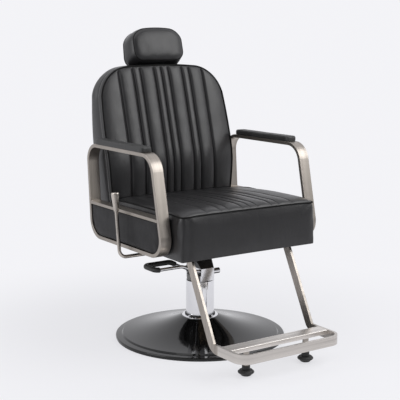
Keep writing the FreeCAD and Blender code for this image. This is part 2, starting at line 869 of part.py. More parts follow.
def side_rail():
    front = box_front_y + box_wall + side_rail_margin
    rear = box_rear_y - box_wall - side_rail_rear_gap
    outer_x = side_rail_outer_x
    rail = hollow_rail(side_rail_inner_x, outer_x, front, rear, side_rail_bottom, side_rail_top, False)
    for y in hinge_bolt_ys + leg_bolt_ys():
        hole_x0 = outer_x - rail_wall - over
        hole_x1 = outer_x + over
        hole = cylinder_x(frame_bolt_radius + hole_gap, hole_x0, hole_x1, y, frame_bolt_z)
        rail = rail.cut(hole)
    return rail


def make_side_rails(parts):
    right = side_rail()
    left = mirrored(right)
    anchor_rear = anchor_y
    anchor_front = anchor_y - anchor_thickness
    anchor_side = gas_x + anchor_margin
    anchor_low = gas_z - anchor_margin
    anchor = box(-side_rail_inner_x, anchor_side, anchor_front, anchor_rear, anchor_low, side_rail_top)
    anchor = anchor.cut(cylinder_y(gas_rod_radius, anchor_front - over, anchor_rear + over, gas_x, gas_z))
    bush_radius = recline_rod_radius + running_gap + lever_tube_wall
    bush_x0 = -side_rail_outer_x - lever_tube_overhang
    bush_x1 = bush_x0 + lever_tube_length
    bush = cylinder_x(bush_radius, bush_x0, bush_x1, recline_shaft_y, recline_shaft_z)
    web_x0 = -side_rail_inner_x - rail_width / 2 - web_thickness / 2
    web_x1 = web_x0 + web_thickness
    web_y0 = recline_shaft_y - web_width / 2
    web = box(web_x0, web_x1, web_y0, web_y0 + web_width, recline_shaft_z, side_rail_bottom)
    left = left.fuse([anchor, web, bush])
    bore_radius = recline_rod_radius + running_gap
    bore_x0 = bush_x0 - over
    bore_x1 = bush_x1 + over
    bore = cylinder_x(bore_radius, bore_x0, bore_x1, recline_shaft_y, recline_shaft_z)
    parts["side_rails"] = group([left.cut(bore).removeSplitter(), right])


# Seat

def panel_stations(half_width):
    """Places across the cushion where the sewn channels lie, edge to edge."""
    inner = sorted([-x for x in channel_xs] + [0.0] + list(channel_xs))
    return [-half_width] + inner + [half_width]


def quilted_edges(half_width, crown, bulge_wide, fullness, to_point):
    """Crowned top line of a section: one shallow arc per padded panel between two channels."""
    stations = panel_stations(half_width)
    edges = []
    for i in range(len(stations) - 1):
        left = stations[i]
        right = stations[i + 1]
        middle = (left + right) / 2
        low = crown * fullness * (1 - (left / half_width) ** 2)
        high = crown * fullness * (1 - (right / half_width) ** 2)
        wide = right - left > wide_panel
        bulge = bulge_wide if wide else channel_bulge_narrow
        top = (low + high) / 2 + seam_rise + bulge * fullness
        arc = Part.Arc(to_point(left, low), to_point(middle, top), to_point(right, high))
        edges.append(arc.toShape())
    return edges


def fullness_at(share):
    """How far the crown has risen at a share of the length, from edge to edge."""
    return (1 - (2 * share - 1) ** 4) ** 0.5


def seat_section(y, fullness):
    half_width = seat_half_width + trim_margin

    def to_point(x, rise):
        return V(x, y, seat_welt_z + rise)

    edges = quilted_edges(half_width, seat_crown, channel_bulge_wide, fullness, to_point)
    corners = [
        V(half_width, y, seat_welt_z),
        V(half_width, y, seat_bottom_z),
        V(-half_width, y, seat_bottom_z),
        V(-half_width, y, seat_welt_z),
    ]
    for i in range(3):
        edges.append(Part.LineSegment(corners[i], corners[i + 1]).toShape())
    return Part.Wire(edges)


def seat_plan():
    """Plan outline of the seat: rounded corners and sides drawn in a little between them."""
    half_width = seat_half_width
    front = seat_front_y
    rear = seat_rear_y
    front_r = seat_front_corner
    rear_r = seat_rear_corner
    draw = seat_side_draw
    slant = math.sqrt(0.5)
    front_middle = V(half_width / 2, front + draw * 0.7, 0)
    right = [
        Part.Arc(V(0, front + draw, 0), front_middle, V(half_width - front_r, front, 0)),
        Part.Arc(
            V(half_width - front_r, front, 0),
            V(half_width - front_r * (1 - slant), front + front_r * (1 - slant), 0),
            V(half_width, front + front_r, 0),
        ),
        Part.Arc(
            V(half_width, front + front_r, 0),
            V(half_width - draw, (front + rear) / 2, 0),
            V(half_width, rear - rear_r, 0),
        ),
        Part.Arc(
            V(half_width, rear - rear_r, 0),
            V(half_width - rear_r * (1 - slant), rear - rear_r * (1 - slant), 0),
            V(half_width - rear_r, rear, 0),
        ),
        Part.LineSegment(V(half_width - rear_r, rear, 0), V(0, rear, 0)),
    ]
    edges = [curve.toShape() for curve in right]
    edges += [mirrored(edge) for edge in edges]
    return Part.Wire(Part.sortEdges(edges)[0])


def make_seat(parts):
    length = seat_rear_y - seat_front_y + 2 * trim_margin
    start = seat_front_y - trim_margin
    sections = [seat_section(start + length * share, fullness_at(share)) for share in crown_shares]
    cushion = Part.makeLoft(sections, True, True)
    plan = Part.Face(seat_plan())
    plan.translate(V(0, 0, seat_bottom_z - over))
    trim_height = seat_welt_z - seat_bottom_z + 3 * seat_crown
    cushion = cushion.common(plan.extrude(V(0, 0, trim_height)))
    hollow_x = box_outer_x + seat_gap
    hollow_front = box_front_y - seat_gap
    hollow_rear = box_rear_y + seat_gap
    hollow_points = [
        (-hollow_x, hollow_front),
        (hollow_x, hollow_front),
        (hollow_x, hollow_rear),
        (-hollow_x, hollow_rear),
    ]
    front_radius = seat_front_corner - seat_skin + box_corner_step
    rear_radius = seat_rear_corner - seat_skin + box_corner_step
    hollow_radii = [front_radius, front_radius, rear_radius, rear_radius]
    hollow = rounded_prism(hollow_points, hollow_radii, place_z, seat_bottom_z - over, board_top + seat_gap)
    cushion = cushion.cut(hollow)
    box_points = inset_points(hollow_points, seat_gap)
    outer = rounded_prism(box_points, hollow_radii, place_z, seat_bottom_z + box_foot_gap, board_top)
    inner_points = inset_points(box_points, box_wall)
    inner_radii = [max(radius - box_wall, box_corner_step) for radius in hollow_radii]
    inner = rounded_prism(inner_points, inner_radii, place_z, seat_bottom_z, board_top + over)
    seat_box = outer.cut(inner)
    notch_x0 = side_rail_outer_x - over
    notch_x1 = side_rail_outer_x + hinge_plate + over
    notch = box(notch_x0, notch_x1, 0, seat_rear_y + over, side_rail_bottom, side_rail_top + over)
    for cut in (notch, mirrored(notch)):
        cushion = cushion.cut(cut)
        seat_box = seat_box.cut(cut)
    for y in arm_bolt_ys:
        wide = cylinder_x(spacer_radius + seat_gap, box_outer_x, seat_half_width + over, y, arm_bolt_z)
        narrow = cylinder_x(frame_bolt_radius + hole_gap, 0, seat_half_width, y, arm_bolt_z)
        for side in (1, -1):
            cushion = cushion.cut(wide if side > 0 else mirrored(wide))
            seat_box = seat_box.cut(narrow if side > 0 else mirrored(narrow))
    parts["seat_cushion"] = cushion
    parts["seat_box"] = seat_box
    board_points = inset_points(inner_points, seat_gap)
    parts["seat_board"] = rounded_prism(board_points, inner_radii, place_z, board_bottom, board_top)


# Armrests

def arm_points():
    """Corners of the outer line of an arm loop, seen from the side."""
    height = arm_top_z - arm_bottom_z
    return [
        (arm_front_y, arm_bottom_z),
        (arm_rear_y, arm_bottom_z),
        (arm_rear_y + arm_rear_lean * height, arm_top_z),
        (arm_front_y + arm_front_lean * height, arm_top_z),
    ]


def make_arm(side_name, side, parts):
    corners = [arm_corner_bottom_front, arm_corner_bottom_rear, arm_corner_top_rear, arm_corner_top_front]
    inner = inset_points(arm_points(), arm_bar_thickness)
    inner_corners = [radius - arm_bar_thickness for radius in corners]
    frame = rounded_prism(arm_points(), corners, place_x, arm_inner_x, arm_outer_x)
    opening = rounded_prism(inner, inner_corners, place_x, arm_inner_x - over, arm_outer_x + over)
    crossbar_top = crossbar_z + crossbar_height
    bar = box(arm_inner_x, arm_outer_x, arm_front_y, arm_rear_y + over, crossbar_z, crossbar_top)
    loop = frame.cut(opening)
    bar = bar.common(opening)
    loop = loop.makeFillet(arm_edge_radius, long_edges(loop))
    loop = loop.fuse(bar).removeSplitter()

    slope_front = arm_front_lean
    slope_rear = arm_rear_lean
    rise = crossbar_z - inner[0][1]
    lower = [
        inner[0],
        inner[1],
        (inner[1][0] + slope_rear * rise, crossbar_z),
        (inner[0][0] + slope_front * rise, crossbar_z),
    ]
    panel_x0 = arm_inner_x + panel_recess
    panel_x1 = arm_outer_x - panel_recess
    panel_radii = [inner_corners[0] - seat_gap, inner_corners[1] - seat_gap, panel_corner, panel_corner]
    panel = rounded_prism(inset_points(lower, seat_gap), panel_radii, place_x, panel_x0, panel_x1)
    panel = panel.makeFillet(panel_edge_radius, long_edges(panel))
    for y in arm_bolt_ys:
        hole_end = panel_x0 + panel_bolt_depth + over
        panel = panel.cut(cylinder_x(frame_bolt_radius + hole_gap, panel_x0 - over, hole_end, y, arm_bolt_z))

    pad_x0 = arm_center_x - pad_width / 2
    pad_points = [
        (pad_x0, pad_front_y),
        (pad_x0 + pad_width, pad_front_y),
        (pad_x0 + pad_width, pad_rear_y),
        (pad_x0, pad_rear_y),
    ]
    pad = rounded_prism(pad_points, [pad_corner] * 4, place_z, arm_top_z, arm_top_z + pad_height)
    top_edges = [edge for edge in pad.Edges if edge.BoundBox.ZMin > arm_top_z + pad_height - touch]
    pad = pad.makeFillet(pad_edge_radius, top_edges)

    screw_hole = arm_screw_radius + hole_gap
    for y in arm_screw_ys:
        inner_top = arm_top_z - arm_bar_thickness
        hole_top = arm_top_z + arm_screw_depth
        hole = cylinder_z(screw_hole, inner_top - over, hole_top, arm_center_x, y)
        loop = loop.cut(hole)
        pad = pad.cut(hole)
        inner_bottom = arm_bottom_z + arm_bar_thickness
        hole_top = inner_bottom + arm_screw_depth
        hole = cylinder_z(screw_hole, arm_bottom_z - over, hole_top, arm_center_x, y)
        loop = loop.cut(hole)
        panel = panel.cut(hole)
    for name, shape in (("arm_frame", loop), ("arm_panel", panel), ("arm_pad", pad)):
        parts[name + "_" + side_name] = shape if side > 0 else mirrored(shape)


def long_edges(shape):
    """Edges of a plate that lie in its two flat faces."""
    box_x = shape.BoundBox
    chosen = []
    for edge in shape.Edges:
        at_low = edge.BoundBox.XMax < box_x.XMin + touch
        at_high = edge.BoundBox.XMin > box_x.XMax - touch
        if at_low or at_high:
            chosen.append(edge)
    return chosen


def make_arm_fasteners(parts):
    panel_x0 = arm_inner_x + panel_recess
    bolts = []
    spacers = []
    for y in arm_bolt_ys:
        length = panel_x0 + panel_bolt_depth - box_inner_x
        bolt = hex_bolt(frame_bolt_radius, frame_bolt_head, frame_bolt_head_height, length)
        bolts.append(turned(bolt, V(0, 1, 0), 90, V(box_inner_x, y, arm_bolt_z)))
        spacer = cylinder_x(spacer_radius, box_outer_x, panel_x0, y, arm_bolt_z)
        hole = cylinder_x(frame_bolt_radius + hole_gap, 0, panel_x0 + over, y, arm_bolt_z)
        spacers.append(spacer.cut(hole))
    parts["arm_bolts"] = group(bolts + [mirrored(bolt) for bolt in bolts])
    parts["arm_spacers"] = group(spacers + [mirrored(spacer) for spacer in spacers])
    screws = []
    length = arm_bar_thickness + arm_screw_depth - arm_screw_end_gap
    head = cylinder_z(arm_screw_radius + arm_screw_head, -arm_screw_head, 0)
    upper = cylinder_z(arm_screw_radius, 0, length).fuse(head)
    for y in arm_screw_ys:
        screws.append(turned(upper, V(0, 0, 1), 0, V(arm_center_x, y, arm_top_z - arm_bar_thickness)))
        lower = cylinder_z(arm_screw_radius, 0, length, arm_center_x, y)
        lower.translate(V(0, 0, arm_bottom_z))
        screws.append(lower)
    parts["arm_screws"] = group(screws + [mirrored(screw) for screw in screws])


# Footrest

def leg_front_line(z):
    return leg_front_y + (z - leg_front_z) * leg_lean


def make_footrest(parts):
    across = leg_width * math.sqrt(1 + leg_lean ** 2)
    points = [
        (leg_front_line(side_rail_top), side_rail_top),
        (leg_front_line(bar_top_z), bar_top_z),
        (bar_joint_y, bar_top_z),
        (bar_joint_y, bar_bottom_z),
        (leg_front_line(bar_bottom_z) + across, bar_bottom_z),
        (leg_front_line(side_rail_top) + across, side_rail_top),
    ]
    leg = rounded_prism(points, [0, leg_nose_radius, 0, 0, knee_radius, 0], place_x, leg_inner_x, leg_outer_x)
    for y in leg_bolt_ys():
        hole_x0 = leg_inner_x - over
        hole_x1 = leg_outer_x + over
        leg = leg.cut(cylinder_x(frame_bolt_radius + hole_gap, hole_x0, hole_x1, y, frame_bolt_z))
    parts["footrest_leg_right"] = leg
    parts["footrest_leg_left"] = mirrored(leg)

    rear = bar_joint_y + bar_corner
    outer_points = [
        (-leg_outer_x, bar_front_y),
        (leg_outer_x, bar_front_y),
        (leg_outer_x, rear),
        (-leg_outer_x, rear),
    ]
    inner_front = bar_front_y + leg_thickness
    inner_points = [
        (-leg_inner_x, inner_front),
        (leg_inner_x, inner_front),
        (leg_inner_x, rear + over),
        (-leg_inner_x, rear + over),
    ]
    inner_corner = bar_corner - leg_thickness
    outer = rounded_prism(outer_points, [bar_corner, bar_corner, 0, 0], place_z, bar_bottom_z, bar_top_z)
    inner_corners = [inner_corner, inner_corner, 0, 0]
    bar_low = bar_bottom_z - over
    bar_high = bar_top_z + over
    inner = rounded_prism(inner_points, inner_corners, place_z, bar_low, bar_high)
    behind = box(-leg_outer_x - over, leg_outer_x + over, bar_joint_y, rear + 2 * over, bar_low, bar_high)
    parts["footrest_bar"] = outer.cut(inner).cut(behind)

    tread_front = tread_rear_y - tread_width
    tread_bottom = bar_top_z - tread_height
    tread_points = [
        (tread_front, tread_bottom),
        (tread_rear_y, tread_bottom),
        (tread_rear_y, bar_top_z),
        (tread_front, bar_top_z),
    ]
    tread = rounded_prism(tread_points, [tread_edge_radius] * 4, place_x, -leg_inner_x, leg_inner_x)
    inside_x = leg_inner_x + over
    inside_points = inset_points(tread_points, tread_wall)
    inside = rounded_prism(inside_points, [tread_inner_radius] * 4, place_x, -inside_x, inside_x)
    parts["footrest_tread"] = tread.cut(inside)

    post_bottom = foot_bottom_z + foot_floor
    parts["footrest_posts"] = both_sides(cylinder_z(post_radius, post_bottom, tread_bottom, post_x, post_y))
    base_top = foot_bottom_z + foot_base_height
    flange_top = base_top + foot_flange_height
    collar_end = flange_top + foot_collar_height
    foot = revolved([
        (0, foot_bottom_z),
        (foot_base_radius - foot_bevel, foot_bottom_z),
        (foot_base_radius, foot_bottom_z + foot_bevel),
        (foot_base_radius, base_top),
        (foot_flange_radius - foot_flange_bevel, base_top),
        (foot_flange_radius, base_top + foot_flange_bevel),
        (foot_flange_radius, base_top + 2 * foot_flange_bevel),
        (foot_flange_radius - foot_shoulder, flange_top - foot_flange_slope),
        (foot_collar_radius, flange_top),
        (foot_collar_radius, collar_end),
        (0, collar_end),
    ])
    foot = foot.cut(cylinder_z(post_radius, post_bottom, collar_end + over))
    foot.translate(V(post_x, post_y, 0))
    parts["footrest_feet"] = both_sides(foot)


# Recline hinge, gas spring and release lever

def make_hinge(parts):
    x0 = side_rail_outer_x
    x1 = x0 + hinge_plate
    low = side_rail_bottom + hinge_plate_edge
    high = side_rail_top - hinge_plate_edge
    reach = hinge_eye_radius
    points = [
        (hinge_front_y, low),
        (hinge_y - hinge_heel, low),
        (hinge_y + hinge_lip, pivot_z - reach - hinge_lip_drop),
        (hinge_y, pivot_z),
        (hinge_y - reach, pivot_z),
        (hinge_y - hinge_shoulder, high),
        (hinge_front_y, high),
    ]
    radii = [hinge_corner, 2 * hinge_corner, hinge_corner, 0, 0, 2 * hinge_corner, hinge_corner]
    plate = rounded_prism(points, radii, place_x, x0, x1)
    plate = plate.fuse(cylinder_x(reach, x0, x1, hinge_y, pivot_z)).removeSplitter()
    plate = plate.cut(cylinder_x(hinge_pin_radius, x0 - over, x1 + over, hinge_y, pivot_z))
    for y in hinge_bolt_ys:
        plate = plate.cut(cylinder_x(frame_bolt_radius + hole_gap, x0 - over, x1 + over, y, frame_bolt_z))
    parts["hinge_brackets"] = both_sides(plate)
    pin_start = strap_outer_x - hinge_plate - hinge_pin_stickout
    pin = cylinder_x(hinge_pin_radius, pin_start, x1, hinge_y, pivot_z)
    head = cylinder_x(hinge_pin_radius + hinge_pin_head, x1, x1 + hinge_pin_head, hinge_y, pivot_z)
    parts["hinge_pins"] = both_sides(pin.fuse(head).removeSplitter())


def make_back_frame(parts):
    x1 = strap_outer_x
    x0 = x1 - hinge_plate
    eye = strap_width / 2
    strap = box(x0, x1, strap_front_y, strap_front_y + strap_width, pivot_z, pivot_z + strap_height)
    strap = strap.fuse(cylinder_x(eye, x0, x1, hinge_y, pivot_z))
    foot_low = back_bottom_z + back_shell_wall + strap_foot_gap
    foot_y1 = strap_front_y + strap_foot_thickness
    foot = box(x0 - strap_foot_width, x0, strap_front_y, foot_y1, foot_low, pivot_z + strap_height)
    strap = strap.fuse(foot)
    tube_end = x0
    tube = cylinder_x(torsion_tube_radius, -tube_end, tube_end, hinge_y, pivot_z)
    frame = tube.fuse([strap, mirrored(strap)])
    half_width = crank_width / 2
    cheek_x0 = gas_x + crank_gap
    lean = math.degrees(crank_half_angle)
    for x in (cheek_x0, gas_x - crank_gap - crank_plate):
        cheek = box(x, x + crank_plate, -half_width, half_width, -crank_length, 0)
        cheek = cheek.fuse(cylinder_x(half_width, x, x + crank_plate, 0, -crank_length))
        cheek = cheek.cut(cylinder_x(crank_pin_radius, x - over, x + crank_plate + over, 0, -crank_length))
        cheek.rotate(V(0, 0, 0), V(1, 0, 0), lean)
        cheek.translate(V(0, hinge_y, pivot_z))
        frame = frame.fuse(cheek)
    bore = torsion_tube_radius - torsion_tube_wall
    inside = cylinder_x(bore, -tube_end + tube_end_wall, tube_end - tube_end_wall, hinge_y, pivot_z)
    pin_hole = hinge_pin_radius + running_gap
    through = cylinder_x(pin_hole, -x1 - over, x1 + over, hinge_y, pivot_z)
    parts["back_frame"] = frame.cut(inside).cut(through).removeSplitter()
    half_pin = crank_gap + crank_plate
    pin_x0 = gas_x - half_pin
    pin_x1 = gas_x + half_pin
    parts["crank_pin"] = cylinder_x(crank_pin_radius, pin_x0, pin_x1, crank_pin_y, crank_pin_z)


def make_gas_spring(parts):
    front = anchor_y - anchor_thickness - gas_rod_stickout
    rod = cylinder_y(gas_rod_radius, front, gas_rod_end_y, gas_x, gas_z)
    room_end = front + pin_stickout + pin_end_room
    pin_room = cylinder_y(pin_radius + running_gap, front - over, room_end, gas_x, gas_z)
    parts["gas_rod"] = rod.cut(pin_room)
    pin_start = recline_shaft_y + release_nose_radius + seat_gap
    parts["release_pin"] = cylinder_y(pin_radius, pin_start, front + pin_stickout, gas_x, gas_z)
    y0 = gas_cylinder_front_y
    y1 = y0 + gas_cylinder_length
    body = cylinder_y(gas_cylinder_radius, y0, y1, gas_x, gas_z)
    inside_y0 = y0 + gas_end_wall
    inside = cylinder_y(gas_cylinder_radius - gas_cylinder_wall, inside_y0, y1 - gas_end_wall, gas_x, gas_z)
    rod_hole = cylinder_y(gas_rod_radius + running_gap, y0 - over, inside_y0 + over, gas_x, gas_z)
    body = body.cut(inside).cut(rod_hole)
    eye_z = gas_z
    slot_half = crank_pin_radius + crank_pin_rise / 2 + slot_room
    slot_side = crank_pin_radius + slot_room
    half = eye_thickness / 2
    eye = box(
        gas_x - half,
        gas_x + half,
        y1 - over,
        crank_pin_y + slot_side + eye_margin,
        eye_z - slot_half - eye_end_wall,
        eye_z + slot_half + eye_end_wall,
    )
    slot_points = [
        (crank_pin_y - slot_side, eye_z - slot_half),
        (crank_pin_y + slot_side, eye_z - slot_half),
        (crank_pin_y + slot_side, eye_z + slot_half),
        (crank_pin_y - slot_side, eye_z + slot_half),
    ]
    slot_radii = [slot_side * slot_corner_share] * 4
    slot = rounded_prism(slot_points, slot_radii, place_x, gas_x - half - over, gas_x + half + over)
    parts["gas_cylinder"] = body.fuse(eye).cut(slot).removeSplitter()


def make_recline_lever(parts):
    lean = recline_lever_lean
    shaft_end = gas_x + release_hub_width / 2
    corner = V(recline_lever_x, recline_shaft_y, recline_shaft_z)
    top = corner + V(0, lean * recline_lever_height, recline_lever_height)
    along = (top - corner).normalize()
    start = V(shaft_end, recline_shaft_y, recline_shaft_z)
    rod = bent_rod([start, corner, top + along * handle_overlap], [recline_lever_bend], recline_rod_radius)
    half = release_hub_width / 2
    hub = cylinder_x(release_hub_radius, gas_x - half, gas_x + half, recline_shaft_y, recline_shaft_z)
    nose_z = recline_shaft_z + release_arm
    nose = cylinder_x(release_nose_radius, gas_x - half, gas_x + half, recline_shaft_y, nose_z)
    nose_r = release_nose_radius
    arm_y0 = recline_shaft_y - nose_r
    arm_y1 = recline_shaft_y + nose_r
    arm = box(gas_x - half, gas_x + half, arm_y0, arm_y1, recline_shaft_z, nose_z)
    parts["recline_lever"] = rod.fuse([hub, nose, arm]).removeSplitter()
    handle = Part.makeCone(handle_neck_radius, handle_radius, handle_length)
    rim = [edge for edge in handle.Edges if edge.BoundBox.ZMin > handle_length - touch]
    handle = handle.makeFillet(handle_rounding, rim)
    handle = handle.cut(cylinder_z(recline_rod_radius + running_gap, -over, handle_overlap + over))
    handle.rotate(V(0, 0, 0), V(1, 0, 0), -math.degrees(math.atan(lean)))
    handle.translate(top)
    parts["lever_handle"] = handle


# Backrest

def back_curve(depth, slope, z0, z1):
    """Side line of the back, upright from its foot, then bent once and leaning back."""
    y = back_front_y + depth
    angle = math.atan(slope)
    reach = back_bend_length / 2
    bend_start = back_bend_z - reach
    radius = reach / math.tan(angle / 2)
    middle_y = y + radius * (1 - math.cos(angle / 2))
    middle_z = bend_start + radius * math.sin(angle / 2)
    arc_end_y = y + reach * math.sin(angle)
    arc_end_z = back_bend_z + reach * math.cos(angle)
    top_y = y + slope * (z1 - back_bend_z)
    return [
        V(0, y, z0),
        V(0, y, bend_start),
        V(0, middle_y, middle_z),
        V(0, arc_end_y, arc_end_z),
        V(0, top_y, z1),
    ]


def back_y(depth, z):
    bend_start = back_bend_z - back_bend_length / 2
    bend_end = back_bend_z + back_bend_length / 2
    y = back_front_y + depth
    if z <= bend_start:
        return y
    if z < bend_end:
        return y + back_lean * (z - bend_start) ** 2 / (2 * back_bend_length)
    return y + back_lean * (z - back_bend_z)


def back_slab(front_depth, rear_depth, rear_slope, z0, z1, half_width):
    front = back_curve(front_depth, back_lean, z0, z1)
    rear = back_curve(rear_depth, rear_slope, z0, z1)
    edges = []
    for points in (front, rear):
        edges.append(Part.LineSegment(points[0], points[1]).toShape())
        edges.append(Part.Arc(points[1], points[2], points[3]).toShape())
        edges.append(Part.LineSegment(points[3], points[4]).toShape())
    edges.append(Part.LineSegment(front[0], rear[0]).toShape())
    edges.append(Part.LineSegment(front[4], rear[4]).toShape())
    face = Part.Face(Part.Wire(Part.sortEdges(edges)[0]))
    face.translate(V(-half_width, 0, 0))
    return face.extrude(V(2 * half_width, 0, 0))


def back_outline(inset):
    """Front outline of the back, a broad arch, moved inwards by an inset."""
    reach = back_front_y + back_foot_depth + back_lean * (back_top_z - back_bottom_z) + over
    low = V(back_half_width_low - inset, 0, back_bottom_z + inset)
    side = V(back_half_width - inset, 0, back_mid_z)
    shoulder = V(back_half_width_high - inset, 0, back_shoulder_z)
    corner = V(back_corner_x - inset * 0.8, 0, back_corner_z - inset * 0.6)
    top_corner = V(back_top_x - inset * 0.3, 0, back_top_corner_z - inset)
    top = V(0, 0, back_top_z - inset)
    right = [
        Part.Arc(low, side, shoulder).toShape(),
        Part.Arc(shoulder, corner, top_corner).toShape(),
    ]
    mirror_top = V(-top_corner.x, 0, top_corner.z)
    edges = right + [mirrored(edge) for edge in right]
    edges.append(Part.Arc(top_corner, top, mirror_top).toShape())
    edges.append(Part.LineSegment(V(-low.x, 0, low.z), low).toShape())
    return Part.Face(Part.Wire(Part.sortEdges(edges)[0])).extrude(V(0, reach, 0))


def back_section(z, fullness):
    half_width = back_half_width + trim_margin
    welt = back_y(0.0, z)
    rear = back_y(back_pad_depth + trim_margin, z)

    def to_point(x, rise):
        return V(x, welt - rise, z)

    edges = quilted_edges(half_width, back_crown, back_channel_bulge, fullness, to_point)
    corners = [
        V(half_width, welt, z),
        V(half_width, rear, z),
        V(-half_width, rear, z),
        V(-half_width, welt, z),
    ]
    for i in range(3):
        edges.append(Part.LineSegment(corners[i], corners[i + 1]).toShape())
    return Part.Wire(edges)


def make_back(parts):
    height = back_top_z - back_bottom_z + 2 * trim_margin
    start = back_bottom_z - trim_margin
    bend_share = (back_bend_z - start) / height
    bend_reach = back_bend_length / 2 / height
    shares = [share for share in crown_shares if abs(share - bend_share) > bend_reach + 0.03]
    shares += [bend_share - bend_reach, bend_share, bend_share + bend_reach]
    sections = [back_section(start + height * share, fullness_at(share)) for share in sorted(shares)]
    low = back_bottom_z - back_slab_reach
    high = back_top_z + back_slab_reach
    wide = back_half_width + back_slab_reach
    trim = back_slab(-5 * back_crown, back_pad_depth, back_lean, low, high, wide).common(back_outline(0.0))
    parts["back_cushion"] = Part.makeLoft(sections, True, True).common(trim)

    shell = back_slab(back_pad_depth + seat_gap, back_foot_depth, back_rear_lean, low, high, wide)
    rear_depth = back_foot_depth - back_shell_rear_wall
    hollow = back_slab(back_pad_depth, rear_depth, back_rear_lean, low, high, wide)
    shell = shell.common(back_outline(0.0)).cut(hollow.common(back_outline(back_shell_wall)))
    slot_x1 = strap_outer_x + strap_slot_gap
    slot_x0 = slot_x1 - hinge_plate - 2 * strap_slot_gap
    slot_y0 = strap_front_y - strap_slot_gap
    slot_y1 = strap_front_y + strap_width + strap_slot_gap
    slot_top = back_bottom_z + back_shell_wall + over
    slot = box(slot_x0, slot_x1, slot_y0, slot_y1, back_bottom_z - over, slot_top)
    shell = shell.cut(slot).cut(mirrored(slot))
    for x, base, tilt in headrest_axes():
        bore_start = base - tilt * guide_bore_reach
        shell = shell.cut(Part.makeCylinder(guide_radius + hole_gap, 2 * guide_bore_reach, bore_start, tilt))
    parts["back_shell"] = shell
    board = back_slab(board_front_depth, board_rear_depth, back_lean, low, high, wide)
    parts["back_board"] = board.common(back_outline(back_shell_wall + seat_gap))


def headrest_axes():
    """Mouth of each headrest guide in the back's top, with the direction its post slides along."""
    z = back_top_z - guide_mouth_depth
    tilt = V(0, math.sin(lean_angle), math.cos(lean_angle))
    axes = []
    for x in (-headrest_post_x, headrest_post_x):
        axes.append((x, V(x, back_y(headrest_post_depth, z), z), tilt))
    return axes


def make_headrest(parts):
    guides = []
    posts = []
    bore_radius = headrest_post_radius + running_gap
    plate_reach = (headrest_z - (back_top_z - guide_mouth_depth)) / math.cos(lean_angle)
    for x, base, tilt in headrest_axes():
        start = base - tilt * guide_length
        guide = Part.makeCylinder(guide_radius, guide_length, start, tilt)
        bore_start = start - tilt * over
        bore = Part.makeCylinder(bore_radius, guide_length + 2 * over, bore_start, tilt)
        guide = guide.cut(bore)
        guides.append(guide)
        post_start = base - tilt * headrest_post_length
        post_length = headrest_post_length + plate_reach - headrest_plate_height / 2 + over
        posts.append(Part.makeCylinder(headrest_post_radius, post_length, post_start, tilt))
    parts["headrest_guides"] = group(guides)
    tilt = headrest_axes()[0][2]
    middle = headrest_axes()[0][1] + tilt * plate_reach
    plate = Part.makeBox(
        headrest_plate_width,
        headrest_plate_thickness,
        headrest_plate_height,
        V(-headrest_plate_width / 2, -headrest_plate_thickness / 2, -headrest_plate_height / 2),
    )
    plate = turned(plate, V(1, 0, 0), -math.degrees(lean_angle), V(0, middle.y, middle.z))
    parts["headrest_posts"] = plate.fuse(posts).removeSplitter()

    half_depth = headrest_depth / 2
    front = -half_depth - headrest_crown
    edge = headrest_edge
    stations = (
        (front, 2.4 * edge),
        (front + 0.45 * headrest_crown, 1.4 * edge),
        (-half_depth + 0.12 * edge, 0.5 * edge),
        (-half_depth + 0.45 * edge, 0.16 * edge),
        (-half_depth + edge, 0.0),
        (half_depth - edge, 0.0),
        (half_depth - 0.45 * edge, 0.16 * edge),
        (half_depth - 0.12 * edge, 0.5 * edge),
        (half_depth, edge),
    )
    sections = []
    for y, inset in stations:
        width = headrest_width / 2 - inset
        height = headrest_height / 2 - inset
        corner = max(headrest_corner - 0.6 * inset, 0.25 * height)
        corner = min(corner, 0.9 * height)
        points = [(-width, -height), (width, -height), (width, height), (-width, height)]
        sections.append(rounded_wire(points, [corner] * 4, place_y, y))
    cushion = Part.makeLoft(sections, True, False)
    cushion = turned(cushion, V(1, 0, 0), -headrest_tilt, V(0, headrest_y, headrest_z))
    pocket = Part.makeBox(
        headrest_plate_width + 2 * seat_gap,
        headrest_plate_thickness + 2 * seat_gap,
        headrest_plate_height + 2 * seat_gap,
        V(
            -headrest_plate_width / 2 - seat_gap,
            -headrest_plate_thickness / 2 - seat_gap,
            -headrest_plate_height / 2 - seat_gap,
        ),
    )
    pocket = turned(pocket, V(1, 0, 0), -math.degrees(lean_angle), V(0, middle.y, middle.z))
    cushion = cushion.cut(pocket)
    for x, base, direction in headrest_axes():
        post_room = Part.makeCylinder(headrest_post_radius + seat_gap, plate_reach, base, direction)
        cushion = cushion.cut(post_room)
    parts["headrest_cushion"] = cushion


def main():
    parts = {}
    make_base(parts)
    make_column(parts)
    make_head(parts)
    make_pump_lever(parts)
    make_carrier(parts)
    make_side_rails(parts)
    make_seat(parts)
    make_arm("right", 1, parts)
    make_arm("left", -1, parts)
    make_arm_fasteners(parts)
    make_footrest(parts)
    make_hinge(parts)
    make_back_frame(parts)
    make_gas_spring(parts)
    make_recline_lever(parts)
    make_back(parts)
    make_headrest(parts)
    os.makedirs("parts", exist_ok=True)
    for name, shape in parts.items():
        solids = shape.Solids
        valid = shape.isValid()
        print(name, len(solids), round(sum(s.Volume for s in solids)), "ok" if valid else "INVALID")
        shape.exportStep("parts/" + name + ".step")


main()
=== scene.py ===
import bisect
import math

